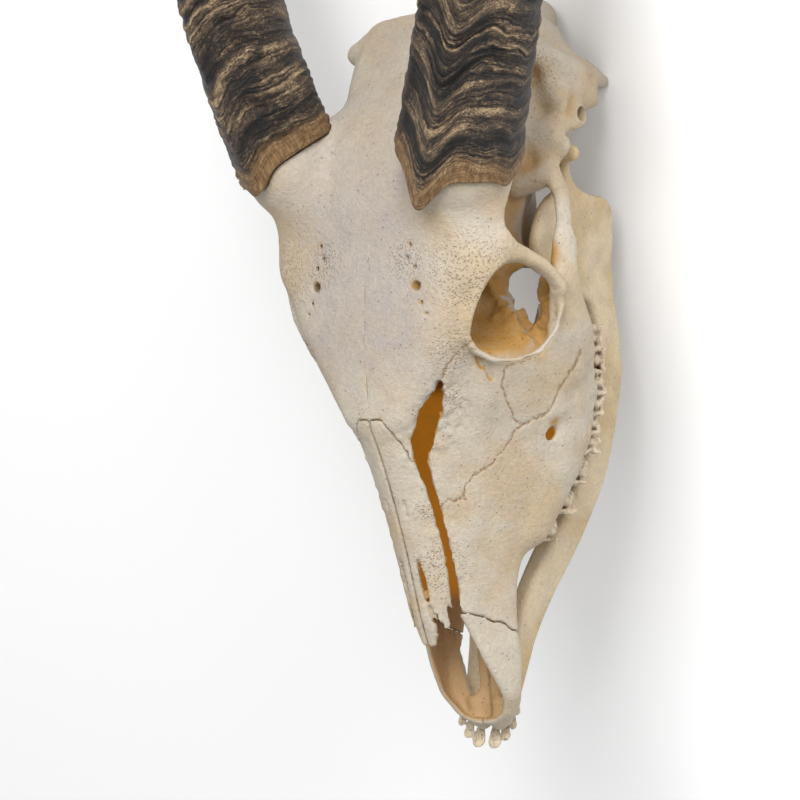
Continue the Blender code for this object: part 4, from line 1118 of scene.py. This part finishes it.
class Shader:
    """A material's nodes, built one call at a time."""

    def __init__(self, name, **values):
        self.material = bpy.data.materials.new(name)
        self.material.use_nodes = True
        self.tree = self.material.node_tree
        self.surface = self.tree.nodes["Principled BSDF"]
        for socket, value in values.items():
            self.surface.inputs[socket.replace("_", " ")].default_value = value

    def node(self, kind, links=(), **settings):
        made = self.tree.nodes.new("ShaderNode" + kind)
        for key, value in settings.items():
            setattr(made, key, value)
        for socket, source in dict(links).items():
            if hasattr(source, "is_output"):
                self.tree.links.new(source, made.inputs[socket])
            else:
                made.inputs[socket].default_value = source
        return made

    def field(self, name, vector=False):
        read = self.node("Attribute", attribute_name=name)
        return read.outputs["Vector" if vector else "Fac"]

    def grain(self, vector, scale, detail=4.0, rough=0.55, twist=0.0):
        links = {"Vector": vector, "Scale": scale, "Detail": detail}
        links |= {"Roughness": rough, "Distortion": twist}
        return self.node("TexNoise", links).outputs["Fac"]

    def cells(self, vector, scale):
        return self.node("TexVoronoi", {"Vector": vector, "Scale": scale}).outputs["Distance"]

    def math(self, operation, a, b=0.0):
        return self.node("Math", {0: a, 1: b}, operation=operation).outputs[0]

    def times(self, a, b):
        return self.math("MULTIPLY", a, b)

    def plus(self, a, b):
        return self.math("ADD", a, b)

    def centred(self, value):
        return self.math("SUBTRACT", value, 0.5)

    def weighted(self, *parts):
        """The sum of the values, each times its weight."""
        total = None
        for value, weight in parts:
            part = self.times(value, weight)
            total = part if total is None else self.plus(total, part)
        return total

    def span(self, value, low, high, start=0.0, end=1.0):
        links = {"Value": value, "From Min": low, "From Max": high, "To Min": start, "To Max": end}
        return self.node("MapRange", links, interpolation_type="SMOOTHSTEP").outputs[0]

    def mix(self, factor, a, b, blend="MIX"):
        links = {"Factor": factor, 6: a, 7: b}
        return self.node("Mix", links, data_type="RGBA", blend_type=blend).outputs[2]

    def stretched(self, vector, scale):
        return self.node("Mapping", {"Vector": vector, "Scale": scale}).outputs[0]

    def ramp(self, value, stops):
        made = self.node("ValToRGB", {"Fac": value})
        bar = made.color_ramp
        while len(bar.elements) < len(stops):
            bar.elements.new(0.5)
        for element, (place, colour) in zip(bar.elements, stops):
            element.position = place
            element.color = colour
        return made.outputs[0]

    def bumped(self, height, strength, distance):
        return self.node("Bump", {"Height": height, "Strength": strength, "Distance": distance}).outputs[0]

    def finish(self, colour, roughness, normal):
        self.tree.links.new(colour, self.surface.inputs["Base Color"])
        self.tree.links.new(roughness, self.surface.inputs["Roughness"])
        self.tree.links.new(normal, self.surface.inputs["Normal"])
        return self.material


def linear(*code):
    """A colour read off as 0 to 255 values, as the shader wants it."""
    return tuple(((c / 255 + 0.055) / 1.055) ** 2.4 if c > 10 else c / 255 / 12.92 for c in code) + (1,)


# Bone, and what lies on it or shows in its openings
IVORY = linear(184, 174, 157)
WARM = linear(180, 160, 130)
GREY = linear(164, 155, 147)
# Brown of painted shade in the socket and recesses, and round openings
STAIN_AND_SHADE_BROWN = linear(160, 120, 60)
# Inner walls of the face: a painted warm shade, and deeper in a painted amber glow for light coming through
# thin bone
INNER_WALL_SHADE = linear(172, 140, 100)
PAINTED_GLOW_AMBER = linear(150, 100, 40)
PAINTED_GLOW_EMISSION = linear(170, 112, 30)
TAN = linear(204, 186, 156)
TAN_DARK = linear(188, 164, 124)
STAIN = linear(112, 78, 42)
PORE = linear(146, 116, 80)
ENAMEL = linear(196, 181, 154)
SEAM = linear(140, 100, 56)
# Dark of tartar on the teeth, and of painted shade in their crevices
TARTAR_AND_SHADE = linear(84, 62, 40)
# How strongly the inside of the face glows: a painted glow, emitted, that stands in for light coming
# through thin bone
PAINTED_GLOW_STRENGTH = 0.5
# Horn, from its cracks to its ridges, its worn rim from dark to pale, and its tip
HORN_TONES = (
    (0.12, linear(10, 8, 7)), (0.38, linear(44, 36, 29)), (0.62, linear(98, 80, 61)),
    (0.92, linear(176, 152, 118)),
)
RIM_TONES = ((0.3, linear(84, 60, 34)), (0.52, linear(128, 98, 62)), (0.75, linear(166, 138, 100)))
HORN_TIP = linear(214, 190, 146)


def bone_material(name, pale, warm):
    """Dry bone: mottled, pitted in places, with painted brown shade in its hollows, a painted glow inside
    the face, dark sutures, and enamelled teeth with painted shade between them.
    """
    s = Shader(name, Specular_IOR_Level=0.35)
    spot = s.field("skull", vector=True)
    broad = s.grain(spot, 0.022, 3.0)
    patch = s.grain(spot, 0.09, 5.0, 0.6)
    mottle = s.grain(spot, 0.45, 6.0, 0.65)
    fine = s.grain(spot, 1.3, 4.0, 0.6)
    porous = s.field("porous")
    depth = s.field("depth")
    colour = s.mix(s.span(broad, 0.38, 0.62), pale, warm)
    grey = s.weighted((s.span(patch, 0.4, 0.7), 0.3), (s.field("brow"), 0.75))
    colour = s.mix(grey, colour, GREY)
    shade = s.span(mottle, 0.3, 0.75, 0.88, 1.06)
    colour = s.mix(1.0, colour, s.node("CombineXYZ", {0: shade, 1: shade, 2: shade}).outputs[0], "MULTIPLY")
    # Enclosed places turn toward the warm tone: painted shade
    colour = s.mix(s.times(s.span(depth, 0.52, 0.78), 0.6), colour, warm)
    # Brown from the stain field: painted shade in the socket and recesses, and brown round openings
    stain_and_shade_mask = s.times(s.field("stain_and_shade"), s.span(patch, 0.2, 0.6, 0.75, 1.0))
    colour = s.mix(stain_and_shade_mask, colour, STAIN_AND_SHADE_BROWN)
    # Inside the face: painted shade on the inner walls, then a painted amber glow that also emits light
    inner = s.field("inner")
    colour = s.mix(s.span(inner, 0.0, 0.5), colour, INNER_WALL_SHADE)
    painted_glow_mask = s.span(inner, 0.5, 1.0)
    colour = s.mix(painted_glow_mask, colour, PAINTED_GLOW_AMBER)
    s.surface.inputs["Emission Color"].default_value = PAINTED_GLOW_EMISSION
    s.tree.links.new(s.times(painted_glow_mask, PAINTED_GLOW_STRENGTH), s.surface.inputs["Emission Strength"])
    pits = s.span(s.cells(spot, 0.62), 0.20, 0.42, 1.0, 0.0)
    dots = s.span(s.cells(spot, 0.30), 0.08, 0.17, 1.0, 0.0)
    pitted = s.times(pits, porous)
    dotted = s.times(dots, s.span(patch, 0.45, 0.6))
    colour = s.mix(s.times(pitted, s.span(fine, 0.35, 0.65, 0.15, 0.9)), colour, PORE)
    colour = s.mix(s.times(dotted, 0.6), colour, STAIN)
    seam = s.times(s.span(s.field("suture"), 0.25, 0.95, 1.0, 0.0), s.span(fine, 0.40, 0.58, 0.15, 1.0))
    colour = s.mix(s.times(seam, 0.85), colour, SEAM)
    tooth = s.field("tooth")
    # Teeth darken where bone crowds round them: painted shade in their crevices; the mottled darkening next
    # is tartar
    enamel = s.mix(s.span(s.field("crevice_shade"), 0.44, 0.62), ENAMEL, TARTAR_AND_SHADE)
    enamel = s.mix(s.times(s.span(mottle, 0.46, 0.66), 0.6), enamel, TARTAR_AND_SHADE)
    colour = s.mix(tooth, colour, enamel)
    height = s.weighted((fine, 0.8), (mottle, 1.4), (s.plus(pitted, dotted), -1.9), (seam, -1.2))
    normal = s.bumped(s.times(height, s.math("SUBTRACT", 1.0, tooth)), 0.6, 0.0011)
    rough = s.math("SUBTRACT", s.span(mottle, 0.2, 0.8, 0.52, 0.74), s.times(tooth, 0.25))
    return s.finish(colour, rough, normal)


def horn_material(name):
    """Horn: fine wavy fibres, dark along the growth ridges' cracks, with a worn rim and a pale tip."""
    s = Shader(name, Specular_IOR_Level=0.4)
    fibre = s.field("fibre", vector=True)
    year = s.field("year")
    ridge = s.field("ridge")
    along = s.field("along")
    lines = s.node("CombineXYZ", {0: year, 1: 0.0, 2: 0.0}).outputs[0]
    lines = s.node("VectorMath", {0: lines, 1: s.stretched(fibre, (0.03, 0.03, 0.0))}).outputs[0]
    fine = s.grain(s.stretched(fibre, (0.46, 0.46, 1.35)), 1.0, 6.0, 0.8, 0.8)
    broad = s.grain(s.stretched(fibre, (0.05, 0.05, 0.10)), 1.0, 3.0, 0.6)
    strand = s.grain(s.stretched(fibre, (0.8, 0.8, 0.22)), 1.0, 4.0, 0.65)
    cracks = s.grain(lines, 0.40, 3.0)
    crack = s.span(s.math("ABSOLUTE", s.centred(cracks)), 0.0, 0.03, 1.0, 0.0)
    # The growth ridges' height lightens their crests and darkens their valleys: painted highlight and
    # painted shade
    tone = s.weighted(
        (ridge, 0.26), (s.centred(fine), 2.1), (s.centred(broad), 1.3),
        (s.centred(strand), 0.4), (crack, -0.34),
    )
    tone = s.plus(tone, 0.46)
    colour = s.ramp(tone, HORN_TONES)
    edge = s.weighted((year, 1.0), (s.centred(strand), 12.0), (s.centred(fine), -16.0))
    rim = s.span(edge, 6.5, 15.0, 0.95, 0.0)
    colour = s.mix(rim, colour, s.ramp(strand, RIM_TONES))
    tip = s.span(s.plus(along, s.times(strand, 30.0)), 640.0, 690.0)
    colour = s.mix(tip, colour, HORN_TIP)
    height = s.weighted((fine, 1.2), (strand, 0.4), (crack, -0.9))
    normal = s.bumped(height, 0.8, 0.0012)
    rough = s.span(tone, 0.1, 0.9, 0.42, 0.66)
    return s.finish(colour, rough, normal)


# The camera in the skull's own frame, turned about its long axis and this far away. On the forehead's
# origin, which lies at this pixel of the square picture, a millimetre is this many pixels.
CAMERA_TURN = math.radians(40.0)
CAMERA_AWAY = 3000.0
SCALE = 1.86
IMAGE_SIDE = 800
FOREHEAD_PIXEL = (366, 290)
SENSOR = 36.0
# The studio, in metres
LIT_PLACE = Vector((0, -0.1, 0.1))
LIGHT_AWAY = 2.4
FLOOR_HALF = 12.0
FLOOR_BELOW = 0.0002
WORLD_LIGHT = 0.63


def camera():
    back = Vector((math.sin(CAMERA_TURN), 0, math.cos(CAMERA_TURN)))
    right = Vector((math.cos(CAMERA_TURN), 0, -math.sin(CAMERA_TURN)))
    up = Vector((0, 1, 0))
    aside = (IMAGE_SIDE / 2 - FOREHEAD_PIXEL[0]) / SCALE
    below = (IMAGE_SIDE / 2 - FOREHEAD_PIXEL[1]) / SCALE
    stand = Matrix((right, up, back)).transposed().to_4x4()
    stand.translation = right * aside - up * below + back * CAMERA_AWAY
    seen = REST @ stand
    seen.translation *= MM
    lens = bpy.data.cameras.new("camera")
    lens.sensor_width = SENSOR
    lens.lens = SENSOR / (IMAGE_SIDE / SCALE) * CAMERA_AWAY
    obj = bpy.data.objects.new("camera", lens)
    obj.matrix_world = seen
    bpy.context.collection.objects.link(obj)
    bpy.context.scene.camera = obj


def light(name, towards, size, power):
    """A square area light that shines at the skull from one direction."""
    direction = Vector(towards).normalized()
    lamp = bpy.data.lights.new(name, "AREA")
    lamp.size = size
    lamp.energy = power
    obj = bpy.data.objects.new(name, lamp)
    obj.location = LIT_PLACE + direction * LIGHT_AWAY
    obj.rotation_mode = "QUATERNION"
    obj.rotation_quaternion = (-direction).to_track_quat("-Z", "Y")
    bpy.context.collection.objects.link(obj)


def studio():
    """A white world, two soft lights and a pale floor."""
    world = bpy.data.worlds.new("studio")
    world.use_nodes = True
    world.node_tree.nodes["Background"].inputs["Color"].default_value = (1, 1, 1, 1)
    world.node_tree.nodes["Background"].inputs["Strength"].default_value = WORLD_LIGHT
    bpy.context.scene.world = world
    light("key", (0.50, 0.80, 0.85), 1.1, 58)
    light("side", (1.0, 0.45, 0.50), 0.8, 17)
    mesh = bpy.data.meshes.new("floor")
    corners = [(x * FLOOR_HALF, y * FLOOR_HALF, 0) for x, y in ((-1, -1), (1, -1), (1, 1), (-1, 1))]
    mesh.from_pydata(corners, [], [(0, 1, 2, 3)])
    s = Shader("floor_paint", Base_Color=(0.93, 0.93, 0.93, 1), Roughness=0.9)
    mesh.materials.append(s.material)
    floor = bpy.data.objects.new("floor", mesh)
    bpy.context.collection.objects.link(floor)
    floor.location.z = -FLOOR_BELOW
    view = bpy.context.scene.view_settings
    view.view_transform = "Standard"
    view.look = "None"
    view.exposure = 0.0


def main():
    bone = bone_material("bone", IVORY, WARM)
    jaw_bone = bone_material("jaw_bone", TAN, TAN_DARK)
    horn = horn_material("horn")
    left, right = (horn_surface(seed, point) for seed, point in zip(HORN_SEEDS, RIM_POINTS))
    build_cranium(left, right, bone)
    build_jaws(jaw_bone)
    build_horns(left, right, horn)
    camera()
    studio()


main()
